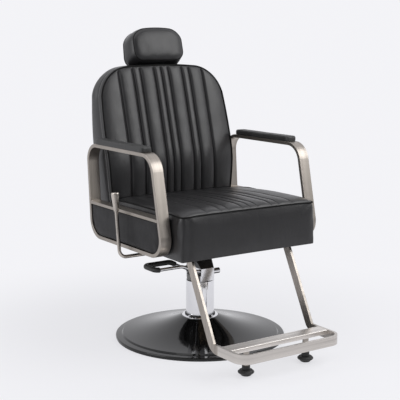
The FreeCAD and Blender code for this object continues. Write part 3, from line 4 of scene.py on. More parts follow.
import bmesh
import bpy
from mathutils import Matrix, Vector


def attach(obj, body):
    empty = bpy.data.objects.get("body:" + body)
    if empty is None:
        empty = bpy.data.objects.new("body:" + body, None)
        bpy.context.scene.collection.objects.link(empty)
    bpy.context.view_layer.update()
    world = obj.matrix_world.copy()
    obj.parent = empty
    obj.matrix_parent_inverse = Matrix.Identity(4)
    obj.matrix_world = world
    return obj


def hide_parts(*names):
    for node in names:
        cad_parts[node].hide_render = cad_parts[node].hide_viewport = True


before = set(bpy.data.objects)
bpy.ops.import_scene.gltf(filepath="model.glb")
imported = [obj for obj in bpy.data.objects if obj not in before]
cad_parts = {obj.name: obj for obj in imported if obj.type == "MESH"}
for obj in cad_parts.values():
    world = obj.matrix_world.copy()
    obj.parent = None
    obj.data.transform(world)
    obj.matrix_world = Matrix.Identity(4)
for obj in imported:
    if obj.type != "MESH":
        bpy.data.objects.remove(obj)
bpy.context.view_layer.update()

MM = 0.001
TINY = 1e-9
SIDES = (("left", -1), ("right", 1))
scene = bpy.context.scene


# Helpers; all shapes below are in millimetres

def smooth_step(a, b, x):
    t = min(max((x - a) / (b - a), 0.0), 1.0)
    return t * t * (3 - 2 * t)


def circle_through(a, b, c):
    """Centre and radius of the circle through three points."""
    ax, ay = a
    bx, by = b
    cx, cy = c
    d = 2 * (ax * (by - cy) + bx * (cy - ay) + cx * (ay - by))
    sa, sb, sc = ax * ax + ay * ay, bx * bx + by * by, cx * cx + cy * cy
    ux = (sa * (by - cy) + sb * (cy - ay) + sc * (ay - by)) / d
    uy = (sa * (cx - bx) + sb * (ax - cx) + sc * (bx - ax)) / d
    return ux, uy, math.hypot(ax - ux, ay - uy)


def turn_between(start, end):
    """Signed angle from one direction to another, by the shorter way."""
    return (end - start + math.pi) % (2 * math.pi) - math.pi


def arc(a, b, c, count):
    """Points on the circle from a through b to c, a left out."""
    ux, uy, r = circle_through(a, b, c)
    start, middle, end = (math.atan2(y - uy, x - ux) for x, y in (a, b, c))
    total = turn_between(start, middle) + turn_between(middle, end)
    points = []
    for i in range(1, count + 1):
        angle = start + total * i / count
        points.append((ux + r * math.cos(angle), uy + r * math.sin(angle)))
    return points


def along(line, x):
    """Linear reading of a rising list of points."""
    k = bisect.bisect_right(line, (x, math.inf))
    if k in (0, len(line)):
        return line[max(k - 1, 0)][1]
    (ax, ay), (bx, by) = line[k - 1], line[k]
    return ay + (by - ay) * ((x - ax) / (bx - ax))


def shade_smooth(mesh):
    mesh.polygons.foreach_set("use_smooth", [True] * len(mesh.polygons))


def new_object(name, verts, faces, material):
    """Smooth-shaded object with its normals made consistent."""
    mesh = bpy.data.meshes.new(name)
    mesh.from_pydata([tuple(c * MM for c in v) for v in verts], [], faces)
    mesh.update()
    shade_smooth(mesh)
    obj = bpy.data.objects.new(name, mesh)
    scene.collection.objects.link(obj)
    mesh.materials.append(material)
    bm = bmesh.new()
    bm.from_mesh(mesh)
    bmesh.ops.recalc_face_normals(bm, faces=bm.faces)
    bm.to_mesh(mesh)
    bm.free()
    return obj


def apply_modifiers(obj):
    graph = bpy.context.evaluated_depsgraph_get()
    mesh = bpy.data.meshes.new_from_object(obj.evaluated_get(graph), depsgraph=graph)
    old = obj.data
    obj.modifiers.clear()
    obj.data = mesh
    bpy.data.meshes.remove(old)
    shade_smooth(mesh)


def subdivide(obj):
    modifier = obj.modifiers.new("subdivision", "SUBSURF")
    modifier.levels = modifier.render_levels = 1
    apply_modifiers(obj)


def tube(name, points, radius, material, sides=10):
    """Round welt along a closed line of points."""
    count = len(points)
    pts = [Vector(p) for p in points]
    tangents = [(pts[(i + 1) % count] - pts[i - 1]).normalized() for i in range(count)]
    guide = Vector((0, 0, 1))
    if abs(tangents[0].dot(guide)) > 0.9:
        guide = Vector((0, 1, 0))
    normal = (guide - tangents[0] * guide.dot(tangents[0])).normalized()
    verts = []
    for i in range(count):
        normal = (normal - tangents[i] * normal.dot(tangents[i])).normalized()
        side = tangents[i].cross(normal)
        for k in range(sides):
            angle = 2 * math.pi * k / sides
            verts.append(pts[i] + (normal * math.cos(angle) + side * math.sin(angle)) * radius)
    faces = []
    for i in range(count):
        j = (i + 1) % count
        for k in range(sides):
            m = (k + 1) % sides
            faces.append((i * sides + k, i * sides + m, j * sides + m, j * sides + k))
    return new_object(name, verts, faces, material)


# Materials

class Tree:
    """Short way to build a node tree."""

    def __init__(self, tree):
        self.tree = tree

    def add(self, kind, *sources, **values):
        """A node: a source and its output for each first input, then settings and other inputs."""
        node = self.tree.nodes.new(kind)
        for into, (source, out) in enumerate(sources):
            self.link(source, out, node, into)
        for key, value in values.items():
            if hasattr(node, key):
                setattr(node, key, value)
            else:
                node.inputs[key.replace("_", " ")].default_value = value
        return node

    def link(self, a, out, b, into):
        self.tree.links.new(a.outputs[out], b.inputs[into])

    def range(self, source, low, high, to_low, to_high, out="Fac", **settings):
        return self.add("ShaderNodeMapRange", (source, out), From_Min=low, From_Max=high,
                        To_Min=to_low, To_Max=to_high, **settings)

    def for_glossy(self, rays, value):
        """A node's first output for glossy rays, and 1 for all others."""
        node = self.add("ShaderNodeMix", data_type="FLOAT")
        node.inputs[2].default_value = 1.0
        self.link(rays, "Is Glossy Ray", node, 0)
        self.link(value, 0, node, 3)
        return node


class Nodes(Tree):
    """A new material's node tree, with its Principled shader."""

    def __init__(self, name):
        self.material = bpy.data.materials.new(name)
        self.material.use_nodes = True
        super().__init__(self.material.node_tree)
        self.shader = self.tree.nodes["Principled BSDF"]

    def set(self, **values):
        for key, value in values.items():
            self.shader.inputs[key.replace("_", " ")].default_value = value

    def place(self, scale=(1, 1, 1), rotation=(0, 0, 0)):
        """Object coordinates, stretched."""
        source = self.add("ShaderNodeTexCoord")
        return self.add("ShaderNodeMapping", (source, "Object"), Scale=scale, Rotation=rotation)

    def noise(self, mapping, scale, detail=2.0, roughness=0.5):
        return self.add("ShaderNodeTexNoise", (mapping, 0),
                        Scale=scale, Detail=detail, Roughness=roughness)

    def ramp(self, source, stops, out="Fac"):
        node = self.add("ShaderNodeValToRGB", (source, out))
        elements = node.color_ramp.elements
        while len(elements) < len(stops):
            elements.new(0.5)
        for element, (position, color) in zip(elements, stops):
            element.position = position
            element.color = (*color, 1.0)
        return node

    def bump(self, source, distance, strength, under=None, out="Fac"):
        node = self.add("ShaderNodeBump", Strength=strength, Distance=distance)
        self.link(source, out, node, "Height")
        if under:
            self.link(under, "Normal", node, "Normal")
        return node

    def soft_edge(self, radius):
        return self.add("ShaderNodeBevel", samples=4, Radius=radius)

    def finish(self, normal, color=None, roughness=None, **values):
        self.set(**values)
        self.link(normal, "Normal", self.shader, "Normal")
        if color:
            self.link(color, 0, self.shader, "Base Color")
        if roughness:
            self.link(roughness, 0, self.shader, "Roughness")
        return self.material


EDGE = 0.0006


def grey(value, warm=0.0):
    return value * (1 + warm), value, value * (1 - warm)


def leather(name, dark, light, rough=0.37, grain=1.0, crease=1.0, shine=0.54):
    """Smooth coated leather with a fine pebble, soft creases and slightly uneven gloss."""
    n = Nodes(name)
    plain = n.place()
    clouds = n.noise(plain, 14.0, 4.0, 0.6)
    color = n.ramp(clouds, [(0.32, dark), (0.68, light)])
    gloss = n.range(clouds, 0.3, 0.7, rough + 0.05, rough - 0.05)
    cells = n.add("ShaderNodeTexVoronoi", (plain, 0), Scale=780.0)
    pebble = n.bump(cells, 0.00022 * grain, 0.55, out="Distance")
    pores = n.bump(n.noise(plain, 300.0, 3.0, 0.6), 0.0003 * grain, 0.4, pebble)
    folds = n.noise(n.place((1.0, 1.0, 0.55)), 42.0, 3.0, 0.55)
    folds = n.bump(folds, 0.0016 * crease, 0.5, pores)
    return n.finish(folds, color, gloss, Specular_IOR_Level=shine)


def brushed(name, stretch, rotation=(0, 0, 0), tone=0.33, warm=0.1, rough=0.3, lines=1.0):
    """Brushed steel: long fine lines along the bar, with patchy brightness."""
    n = Nodes(name)
    fine = n.noise(n.place(stretch, rotation), 1.0, 6.0, 0.7)
    broad = n.noise(n.place(tuple(s * 0.12 for s in stretch), rotation), 1.0, 3.0, 0.5)
    mix = n.add("ShaderNodeMath", (fine, "Fac"), (broad, "Fac"), operation="ADD")
    stops = [(0.1, grey(tone * 0.74, warm)), (0.9, grey(tone * 1.2, warm))]
    color = n.ramp(n.range(mix, 0.6, 1.4, 0.0, 1.0, out=0), stops, out=0)
    gloss = n.range(mix, 0.6, 1.4, rough + 0.08, rough - 0.07, out=0)
    bump = n.bump(fine, 0.00012 * lines, 0.5, n.soft_edge(0.0007))
    return n.finish(bump, color, gloss, Metallic=1.0)


def mottled(name, broad, stops, gloss, fine, bump, stretch=(1, 1, 1), edge=None, **values):
    """Colour and gloss follow one noise, the relief another; without a fine one it is the same."""
    n = Nodes(name)
    place = n.place(stretch)
    clouds = n.noise(place, *broad)
    relief = n.noise(place, *fine) if fine else clouds
    bump = n.bump(relief, *bump, n.soft_edge(edge) if edge else None)
    return n.finish(bump, n.ramp(clouds, stops), n.range(clouds, *gloss), **values)


def paint(name, low, high, rough, scale=180.0, depth=0.0002):
    """Sprayed or moulded surface with a fine even texture."""
    return mottled(name, (12.0, 3.0, 0.6), [(0.3, low), (0.7, high)],
                   (0.3, 0.7, rough - 0.05, rough + 0.07), (scale, 3.0, 0.6), (depth, 0.5),
                   edge=EDGE)


def rubber(name, tone, rough):
    """Matt moulded rubber or soft plastic."""
    return mottled(name, (30.0, 4.0, 0.6), [(0.3, grey(tone)), (0.75, grey(tone * 1.5))],
                   (0.3, 0.7, rough - 0.08, rough + 0.08), (420.0, 4.0, 0.6), (0.00025, 0.5))


def cast_iron(name, tone):
    """Rough cast surface under a thin film of oil."""
    n = Nodes(name)
    coarse = n.noise(n.place(), 140.0, 6.0, 0.7)
    color = n.ramp(coarse, [(0.3, grey(tone * 0.7)), (0.7, grey(tone * 1.2, 0.03))])
    return n.finish(n.bump(coarse, 0.0007, 0.7), color, Metallic=0.6, Roughness=0.62)


def plywood(name, face_axis):
    """Pale birch plywood: grain on the faces and thin dark glue lines on the edges."""
    n = Nodes(name)
    grain = n.noise(n.place((6.0, 90.0, 40.0)), 1.0, 6.0, 0.65)
    stops = [(0.3, (0.36, 0.24, 0.13)), (0.5, (0.50, 0.36, 0.21)), (0.75, (0.60, 0.46, 0.29))]
    wood = n.ramp(grain, stops)
    layers = n.add("ShaderNodeTexWave", (n.place(), 0), wave_type="BANDS",
                   bands_direction=face_axis, Scale=110.0, Distortion=0.4)
    mix = n.add("ShaderNodeMix", data_type="RGBA", blend_type="MULTIPLY")
    mix.inputs["Factor"].default_value = 0.25
    n.link(wood, "Color", mix, 6)
    n.link(layers, "Color", mix, 7)
    n.link(mix, 2, n.shader, "Base Color")
    return n.finish(n.bump(grain, 0.0003, 0.5), Roughness=0.62)


LEG_ANGLE = math.atan(0.517)

LEATHER = leather("black_leather", (0.0070, 0.0067, 0.0076), (0.0110, 0.0106, 0.0117))
# Painted shade: a darker, less shiny copy of the black leather for the arm panels, standing in for
# the shade inside the arm loops
SHADED_PANEL_LEATHER = leather(
    "panel_leather_painted_shade", (0.0055, 0.0052, 0.006), (0.0085, 0.008, 0.0092), 0.45, shine=0.22)
WELT = leather("welt_leather", grey(0.003), grey(0.006), 0.55, grain=0.6, crease=0.3, shine=0.1)
PAD_SKIN = rubber("arm_pad_skin", 0.016, 0.5)
GRIP_SKIN = rubber("grip_rubber", 0.014, 0.55)
FOOT_RUBBER = rubber("foot_rubber", 0.011, 0.55)
ARM_STEEL = brushed("arm_steel", (520.0, 5.0, 5.0), rough=0.37)
LEG_STEEL = brushed("leg_steel", (5.0, 620.0, 5.0), (LEG_ANGLE, 0, 0))
BAR_STEEL = brushed("bar_steel", (5.0, 5.0, 620.0), tone=0.55, warm=0.06)
TREAD_STEEL = brushed("tread_steel", (4.0, 560.0, 30.0), tone=0.72, warm=0.05, rough=0.34)
POST_STEEL = brushed("post_steel", (40.0, 40.0, 500.0), rough=0.24)
LEVER_STEEL = brushed(
    "lever_steel", (60.0, 60.0, 60.0), tone=0.44, warm=0.09, rough=0.22, lines=0.4)
# Mirror bright, with faint haze where hands and cloths have rubbed it
CHROME = mottled(
    "chrome_plate", (26.0, 5.0, 0.65),
    [(0.3, (0.78, 0.78, 0.7956)), (0.75, (0.7332, 0.7332, 0.7566))],
    (0.35, 0.75, 0.06, 0.13), (9.0, 1.0), (0.0004, 0.25), edge=EDGE, Metallic=1.0)
# Deep gloss with very slight orange peel and a little dust
ENAMEL = mottled(
    "black_enamel", (60.0, 6.0, 0.7), [(0.35, grey(0.003)), (0.8, grey(0.005))],
    (0.4, 0.8, 0.05, 0.12), (70.0, 2.0), (0.0002, 0.12), Specular_IOR_Level=0.4)
SATIN_BLACK = paint("satin_black_paint", (0.010, 0.010, 0.011), (0.016, 0.016, 0.017), 0.3)
GUIDE_PLASTIC = paint("guide_plastic", grey(0.02), grey(0.03), 0.5, 300.0, 0.00015)
# Fine tool marks
MACHINED = mottled(
    "machined_steel", (1.0, 4.0, 0.6), [(0.3, grey(0.425)), (0.7, grey(0.55))],
    (0.3, 0.7, 0.36, 0.23), None, (0.00008, 0.4), stretch=(60.0, 60.0, 900.0), Metallic=1.0)
BALLAST = cast_iron("ballast_iron", 0.05)
PUMP_IRON = cast_iron("pump_iron", 0.22)
STAINED_WOOD = paint("stained_plywood", grey(0.008), grey(0.014), 0.6, 90.0, 0.0003)
BOARD_WOOD = plywood("board_plywood", "Z")
BACK_WOOD = plywood("back_plywood", "Y")

# Every other CAD node is machined steel
FINISHES = (
    (FOOT_RUBBER, "floor_pad tube_gasket wiper_seal piston_seal footrest_feet"),
    (ENAMEL, "base_cover"),
    (BALLAST, "ballast_plate base_hub"),
    (CHROME, "base_flange flange_bolts outer_tube ram head_cover plunger_barrel pump_lever"),
    (CHROME, "lever_shaft"),
    (LEVER_STEEL, "lever_handle recline_lever"),
    (PUMP_IRON, "pump_head"),
    (SATIN_BLACK, "seat_carrier cross_rails side_rails hinge_brackets back_frame"),
    (SATIN_BLACK, "gas_cylinder arm_spacers"),
    (ARM_STEEL, "arm_frame_left arm_frame_right"),
    (LEG_STEEL, "footrest_leg_left footrest_leg_right"),
    (BAR_STEEL, "footrest_bar"),
    (TREAD_STEEL, "footrest_tread"),
    (POST_STEEL, "footrest_posts"),
    (STAINED_WOOD, "seat_box"),
    (BOARD_WOOD, "seat_board"),
    (BACK_WOOD, "back_board"),
    (GUIDE_PLASTIC, "headrest_guides"),
    (GRIP_SKIN, "pedal_grip"),
)
REPLACED = {
    "seat_cushion", "back_cushion", "back_shell", "headrest_cushion",
    "arm_panel_left", "arm_panel_right", "arm_pad_left", "arm_pad_right",
}


def dress_nodes():
    materials = {name: material for material, names in FINISHES for name in names.split()}
    for name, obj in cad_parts.items():
        if name in REPLACED:
            continue
        material = materials.get(name, MACHINED)
        if not obj.material_slots:
            obj.data.materials.append(material)
        for slot in obj.material_slots:
            slot.link = "OBJECT"
            slot.material = material


# Padding

CLOTH_FRAMES = 20
CLOTH_SETTINGS = {
    "quality": 7, "mass": 0.35, "tension_stiffness": 12.0, "compression_stiffness": 12.0,
    "shear_stiffness": 6.0, "bending_stiffness": 0.6, "use_pressure": True,
    "vertex_group_mass": "seams",
}
# Objects to inflate, with their pinned points (seams and hidden sides), pressure and cap
INFLATING = []


def run_inflation():
    """Blows every noted form up against its seams and keeps each point's move under a cap."""
    for obj, pinned, pressure, cap in INFLATING:
        obj.vertex_groups.new(name="seams").add(sorted(pinned), 1.0, "REPLACE")
        modifier = obj.modifiers.new("padding", "CLOTH")
        for key, value in CLOTH_SETTINGS.items():
            setattr(modifier.settings, key, value)
        modifier.settings.uniform_pressure_force = pressure
        modifier.settings.effector_weights.gravity = 0.0
        modifier.point_cache.frame_start = 1
        modifier.point_cache.frame_end = CLOTH_FRAMES
    for number in range(1, CLOTH_FRAMES + 1):
        scene.frame_set(number)
    graph = bpy.context.evaluated_depsgraph_get()
    moved = {}
    for obj, *_ in INFLATING:
        moved[obj] = [v.co.copy() for v in obj.evaluated_get(graph).data.vertices]
    scene.frame_set(1)
    for obj, pinned, pressure, cap in INFLATING:
        obj.modifiers.clear()
        limit = cap * MM
        for vertex, place in zip(obj.data.vertices, moved[obj]):
            step = place - vertex.co
            length = step.length
            if vertex.index not in pinned and length >= TINY:
                kept = limit * math.tanh(length / limit)
                vertex.co += step * (kept / length)
        obj.data.update()


# Quilted cushions: a grid on top, rings down the sides, the same grid underneath

BESIDE_CHANNEL = (2.0, 4.6, 8.5)
BESIDE_END = (0.0, 3.0, 7.0, 12.5, 20.0)
QUILT_STEP = 9.5
NARROW_PANEL = 45


def inward(point, outward, inset, up_share=1.0):
    return point[0] - outward[0] * inset, point[1] - outward[1] * inset * up_share


def spaced(start, end, step):
    """Positions from start to end, both left out, about a step apart."""
    count = max(int(round((end - start) / step)), 1)
    return [start + (end - start) * i / count for i in range(1, count)]


def quilt_columns(channels, limit):
    """Column positions from the middle to a limit, close together beside every channel."""
    far = BESIDE_CHANNEL[-1]
    half = [0.0]
    stops = sorted(channels)
    for left, right in zip(stops, stops[1:]):
        half += [left + d for d in BESIDE_CHANNEL]
        half += spaced(left + far, right - far, QUILT_STEP)
        half += [right - d for d in reversed(BESIDE_CHANNEL)]
        half.append(right)
    half += [stops[-1] + d for d in BESIDE_CHANNEL]
    half += spaced(stops[-1] + far, limit, QUILT_STEP)
    half.append(limit)
    return half


def with_corners(half, flat, radius, angles):
    """The columns of both halves, with more of them round the corners."""
    half += [flat + radius * math.sin(math.radians(a)) for a in angles]
    return [-x for x in reversed(half[1:])] + half


def grid_rows(length, step):
    """Shares of a length, closer together at its ends."""
    far = BESIDE_END[-1]
    rows = [*BESIDE_END, *spaced(far, length - far, step)]
    rows += [length - d for d in reversed(BESIDE_END)]
    return [row / length for row in rows]


class Quilt:
    """Closed cushion: top grid, side rings and a hidden grid on the far side."""

    def __init__(self, columns, rows):
        n, m = self.n, self.m = len(columns), len(rows)
        self.columns = columns
        self.rows = rows
        self.verts = []
        self.faces = []
        self.pinned = set()
        walk = [(i, 0) for i in range(n)]
        walk += [(n - 1, j) for j in range(1, m)]
        walk += [(i, m - 1) for i in range(n - 2, -1, -1)]
        walk += [(0, j) for j in range(m - 2, 0, -1)]
        self.walk = walk

    def fill(self, index, second, last):
        """Faces of the grid, from its points' numbers and the steps to a face's second and last."""
        for i in range(self.n - 1):
            for j in range(self.m - 1):
                corners = (0, 0), second, (1, 1), last
                self.faces.append(tuple(index[i + u, j + v] for u, v in corners))

    def cover(self, surface):
        places = [(i, j) for i in range(self.n) for j in range(self.m)]
        self.verts += [surface(i, j) for i, j in places]
        index = {place: k for k, place in enumerate(places)}
        self.fill(index, (1, 0), (0, 1))
        self.ring = [index[place] for place in self.walk]
        self.pinned.update(self.ring)

    def outline(self, flat):
        """Points and outward directions of the outline in its own plane."""
        points = [flat(i, j) for i, j in self.walk]
        count = len(points)
        self.line = []
        for k in range(count):
            before = points[k - 1]
            after = points[(k + 1) % count]
            dx, dy = after[0] - before[0], after[1] - before[1]
            length = math.hypot(dx, dy)
            self.line.append((points[k], (dy / length, -dx / length)))

    def pin_channels(self, channels):
        """Holds the columns that run along the sewn channels."""
        for i, x in enumerate(self.columns):
            if any(abs(abs(x) - channel) < 0.01 for channel in channels):
                self.pinned.update(i * self.m + j for j in range(self.m))

    def bands(self, place, steps, pin=False):
        """A ring for each step; place takes an outline point, its direction and the step."""
        count = len(self.line)
        for step in steps:
            start = len(self.verts)
            self.verts += [place(*spot, *step) for spot in self.line]
            ring = [start + k for k in range(count)]
            for k in range(count):
                p = (k + 1) % count
                self.faces.append((self.ring[k], ring[k], ring[p], self.ring[p]))
            self.ring = ring
            if pin:
                self.pinned.update(ring)

    def close(self, surface, pin=True):
        """Fills the last ring with the same grid."""
        index = dict(zip(self.walk, self.ring))
        for i in range(1, self.n - 1):
            for j in range(1, self.m - 1):
                index[i, j] = len(self.verts)
                self.verts.append(surface(i, j))
        self.fill(index, (0, 1), (1, 0))
        if pin:
            self.pinned.update(index.values())

    def build(self, name, material, pressure=None, cap=None):
        """The cushion's object, to be inflated if it has a pressure and a cap on its moves."""
        obj = new_object(name, self.verts, self.faces, material)
        if cap:
            INFLATING.append((obj, self.pinned, pressure, cap))
        return obj


def puff(x, stops, full, narrow, power, wide, wide_share):
    """Height of the padding between two channels."""
    edges = sorted(stops)
    share, width = 1.0, 1.0
    for left, right in zip(edges, edges[1:]):
        if left <= abs(x) <= right:
            share, width = 2 * (abs(x) - left) / (right - left) - 1, right - left
            break
    bulge = (full if width > NARROW_PANEL else narrow) * (1 - abs(share) ** power)
    return bulge * wide_share if width > wide else bulge


def cut_channels(obj, channels, depth, width, keep, direction):
    """Presses sewn channels into a cushion; keep gives each point's share of the depth."""
    for vertex in obj.data.vertices:
        x = abs(vertex.co.x) / MM
        gap = min(abs(x - channel) for channel in channels)
        if gap >= width:
            continue
        share = keep(vertex.co / MM)
        if share <= 0:
            continue
        press = depth * (1 - gap / width) ** 1.6 * share
        vertex.co += Vector(direction(vertex.co / MM)) * (press * MM)
    obj.data.update()


# Seat cushion

SEAT_HALF = 267.2
SEAT_INNER = 200.0
SEAT_FRONT = -297.6
SEAT_REAR = 158.0
SEAT_BOTTOM = 353.7
SEAT_WELT = 498.5
SEAT_HEIGHT = SEAT_WELT - SEAT_BOTTOM
SEAT_FRONT_BOW = 2.5
SEAT_WAIST = 2.5
SEAT_FRONT_R = 18.0
SEAT_FOOT_R = 5.0
SEAT_REAR_R = 66.0
SEAT_CROWN = 13.0
SEAT_MIDDLE_RISE = 2.0
SEAT_REAR_DROP = 4.0
SEAT_CHANNELS = (0.0, 30.0, 86.0, 117.0, 172.0)
SEAT_CEILING = 406.4
SEAT_SKIN = 9.6
SEAT_ROLL_WIDTH = 45.0
SEAT_FRONT_ROLL = 0.12
SEAT_REAR_ROLL = 0.05
# Fold beside the front corner on the levers' side: distance in, width and depth
FOLD_IN = 24
FOLD_WIDTH = 9.0
FOLD_DEPTH = 4.6
# Corners where the upper seam sinks: x, y, depth and reach
SEAT_SAGS = (
    (SEAT_HALF - 6, SEAT_FRONT + 6, 2.5, 40.0),
    (SEAT_HALF - 12, SEAT_REAR - 12, 2.0, 60.0),
)
# Rings down the side: distance below the seam, and inset
SEAT_WALL = [(2.5, 0.6), (6, -1.4), (11, -2.8), (18, -3.6), (28, -3.8), (40, -3.4)]
SEAT_WALL += [(d, -3.2 + 1.2 * d / SEAT_HEIGHT) for d in (54, 68, 82, 96, 110, 122, 131)]
SEAT_FOOT = [
    (SEAT_HEIGHT - 5, -1.9), (SEAT_HEIGHT - 1.2, -1.8), (SEAT_HEIGHT, -0.8), (SEAT_HEIGHT, 2.5),
]
SEAT_INSIDE = (
    SEAT_HEIGHT, SEAT_HEIGHT - 10, SEAT_WELT - SEAT_CEILING + 4, SEAT_WELT - SEAT_CEILING,
)
SEAT_FOOT += [(down, SEAT_SKIN) for down in SEAT_INSIDE]


def corner_reach(x, radius):
    """Distance from a corner's centre line to its arc at x."""
    return math.sqrt(max(radius ** 2 - (abs(x) - (SEAT_HALF - radius)) ** 2, 0.0))


def seat_front_line(x):
    flat = SEAT_HALF - SEAT_FRONT_R
    if abs(x) <= flat:
        return SEAT_FRONT + SEAT_FRONT_BOW * (1 - (abs(x) / flat) ** 2)
    return SEAT_FRONT + SEAT_FRONT_R - corner_reach(x, SEAT_FRONT_R)


def seat_rear_line(x):
    if abs(x) <= SEAT_HALF - SEAT_REAR_R:
        return SEAT_REAR
    return SEAT_REAR - SEAT_REAR_R + corner_reach(x, SEAT_REAR_R)


def seat_welt(x, y):
    """Height of the upper seam, which sinks a little at the corners and towards the rear."""
    dip = 0.0
    for cx, cy, depth, reach in SEAT_SAGS:
        dip += depth * math.exp(-((abs(x) - cx) ** 2 + (y - cy) ** 2) / reach ** 2)
    return SEAT_WELT - dip - SEAT_REAR_DROP * smooth_step(60.0, SEAT_REAR, y)


def make_seat():
    columns = with_corners(
        quilt_columns(SEAT_CHANNELS, SEAT_INNER), SEAT_HALF - SEAT_REAR_R, SEAT_REAR_R,
        (8, 17, 26, 35, 44, 53, 62, 71, 80, 90))
    rows = grid_rows(SEAT_REAR - SEAT_FRONT, 10.0)
    quilt = Quilt(columns, rows)

    def plan(i, j):
        x = columns[i]
        v = rows[j]
        low, high = seat_front_line(x), seat_rear_line(x)
        y = low + (high - low) * v
        outer = max((abs(x) - SEAT_INNER) / (SEAT_HALF - SEAT_INNER), 0.0)
        drawn = SEAT_WAIST * outer * math.sin(math.pi * v)
        return (x - math.copysign(drawn, x), y)

    def fullness(i, j):
        """Share of the crown: round at the sides and the front, and nearly flat at the rear."""
        side = min((SEAT_HALF - abs(columns[i])) / SEAT_ROLL_WIDTH, 1.0)
        front = min(rows[j] / SEAT_FRONT_ROLL, 1.0)
        rear = min((1 - rows[j]) / SEAT_REAR_ROLL, 1.0)
        roll = math.sqrt(1 - (1 - side) ** 2) * math.sqrt(1 - (1 - front) ** 2) * rear ** 0.5
        return roll * (1 - 0.85 * smooth_step(0.35, 1.0, rows[j]))

    def top(i, j):
        x, y = plan(i, j)
        full = fullness(i, j)
        bulge = puff(columns[i], SEAT_CHANNELS + (SEAT_HALF,), 3.6, 2.4, 2.6, 80, 0.7)
        middle = SEAT_MIDDLE_RISE * (1 - (x / SEAT_HALF) ** 2)
        rise = (SEAT_CROWN + middle) * full
        return (x, y, seat_welt(x, y) + rise + bulge * min(full * 1.6, 1.0))

    quilt.cover(top)
    quilt.outline(plan)
    quilt.pin_channels(SEAT_CHANNELS)

    def sharpened(point, down):
        """The front corners grow sharper towards the foot of the cushion."""
        x, y = point
        centre_x, centre_y = SEAT_HALF - SEAT_FRONT_R, SEAT_FRONT + SEAT_FRONT_R
        if abs(x) < centre_x or y > centre_y:
            return x, y
        radius = SEAT_FRONT_R + (SEAT_FOOT_R - SEAT_FRONT_R) * smooth_step(10.0, 90.0, down)
        across = (abs(x) - centre_x) / SEAT_FRONT_R
        ahead = (y - centre_y) / SEAT_FRONT_R
        moved_x = math.copysign(SEAT_HALF - radius + radius * across, x)
        return moved_x, SEAT_FRONT + radius + radius * ahead

    def wall(point, outward, down, inset):
        drop = SEAT_WELT - seat_welt(*point)
        z = SEAT_WELT - down - drop * max(1 - down / 60.0, 0.0)
        x, y = sharpened(point, down)
        from_fold = (SEAT_HALF - FOLD_IN + x) / FOLD_WIDTH
        fold = FOLD_DEPTH * math.exp(-from_fold ** 2) if y < SEAT_FRONT + 12 else 0.0
        fold *= min(down / 10.0, 1.0) * min((SEAT_HEIGHT + 1 - down) / 30.0, 1.0)
        x, y = inward((x, y), outward, inset)
        return (x, y + max(fold, 0.0), z)

    quilt.bands(wall, SEAT_WALL)
    quilt.bands(wall, SEAT_FOOT, pin=True)

    def ceiling(i, j):
        x, y = plan(i, j)
        middle = (SEAT_FRONT + SEAT_REAR) / 2
        deep = (SEAT_REAR - SEAT_FRONT) / 2
        inner_y = middle + (y - middle) * (1 - SEAT_SKIN / deep)
        return (x * (1 - SEAT_SKIN / SEAT_HALF), inner_y, SEAT_CEILING)

    quilt.close(ceiling)
    welt = []
    for point, outward in quilt.line:
        welt.append((*inward(point, outward, -1.1), seat_welt(*point) + 0.4))
    obj = quilt.build("seat_cushion_padded", LEATHER, 4.0, 4.5)
    return obj, tube("seat_piping", welt, 2.6, WELT)


def finish_seat(obj):
    subdivide(obj)

    def keep(p):
        if p.z < SEAT_WELT - 6 or abs(p.x) > 190:
            return 0.0
        front = p.y - seat_front_line(p.x)
        rear = seat_rear_line(p.x) - p.y
        return smooth_step(2, 22, min(front, rear + 8))

    cut_channels(obj, SEAT_CHANNELS, 3.4, 5.2, keep, lambda p: (0, 0, -1))


# Backrest: points of its outline are (x, z)

BACK_FRONT = 171.0
BACK_BOTTOM = 415.0
BACK_BEND = 615.0
BACK_BEND_LENGTH = 80.0
BACK_LEAN = 0.272
BACK_CROWN = 8.0
BACK_FOOT_DEPTH = 116.0
BACK_REAR_LEAN = 0.1
BACK_REAR_WALL = 14.0
BACK_BAND = 23.0
BACK_INNER = 192.0
BACK_CHANNELS = (0.0, 30.0, 88.0, 119.0, 177.0)
BACK_LOW = (243.0, 415.0)
BACK_SIDE = (263.5, 700.0)
BACK_SHOULDER = (256.5, 845.0)
BACK_CORNER = (231.0, 899.0)
BACK_TOP_CORNER = (140.0, 944.5)
BACK_TOP = (0.0, 949.5)
CUSHION_SKIN = 20.6
WRAP_SKIN = 22.4
WRAP_STEP = 14.0
# Where the headrest's guides and the hinge arms pass through the wrapped box
GUIDE_X = 55.0
GUIDE_DEPTH = 42.0
GUIDE_HOLE_R = 8.35
GUIDE_HOLE_LENGTH = 150
HINGE_X = 191.7
HINGE_Y = 215.9
HINGE_SLOT = (10, 28, 60)


def back_y(depth, z, lean=BACK_LEAN):
    """Y of a face behind the front one by a depth: upright, then leaning back above the bend."""
    start = BACK_BEND - BACK_BEND_LENGTH / 2
    end = BACK_BEND + BACK_BEND_LENGTH / 2
    y = BACK_FRONT + depth
    if z <= start:
        return y
    if z < end:
        return y + lean * (z - start) ** 2 / (2 * BACK_BEND_LENGTH)
    return y + lean * (z - BACK_BEND)


def back_rear_y(ahead, z):
    return back_y(BACK_FOOT_DEPTH - ahead, z, BACK_REAR_LEAN)


def back_lines():
    """The back's side line by height, and its arch by distance from the middle."""
    side = [BACK_LOW] + arc(BACK_LOW, BACK_SIDE, BACK_SHOULDER, 60)
    left_top = (-BACK_TOP_CORNER[0], BACK_TOP_CORNER[1])
    top = arc(BACK_TOP_CORNER, BACK_TOP, left_top, 40)
    arch = [(x, z) for x, z in [BACK_TOP_CORNER] + top if x >= 0]
    shoulder = [BACK_SHOULDER] + arc(BACK_SHOULDER, BACK_CORNER, BACK_TOP_CORNER, 60)
    return side, sorted(arch + shoulder)


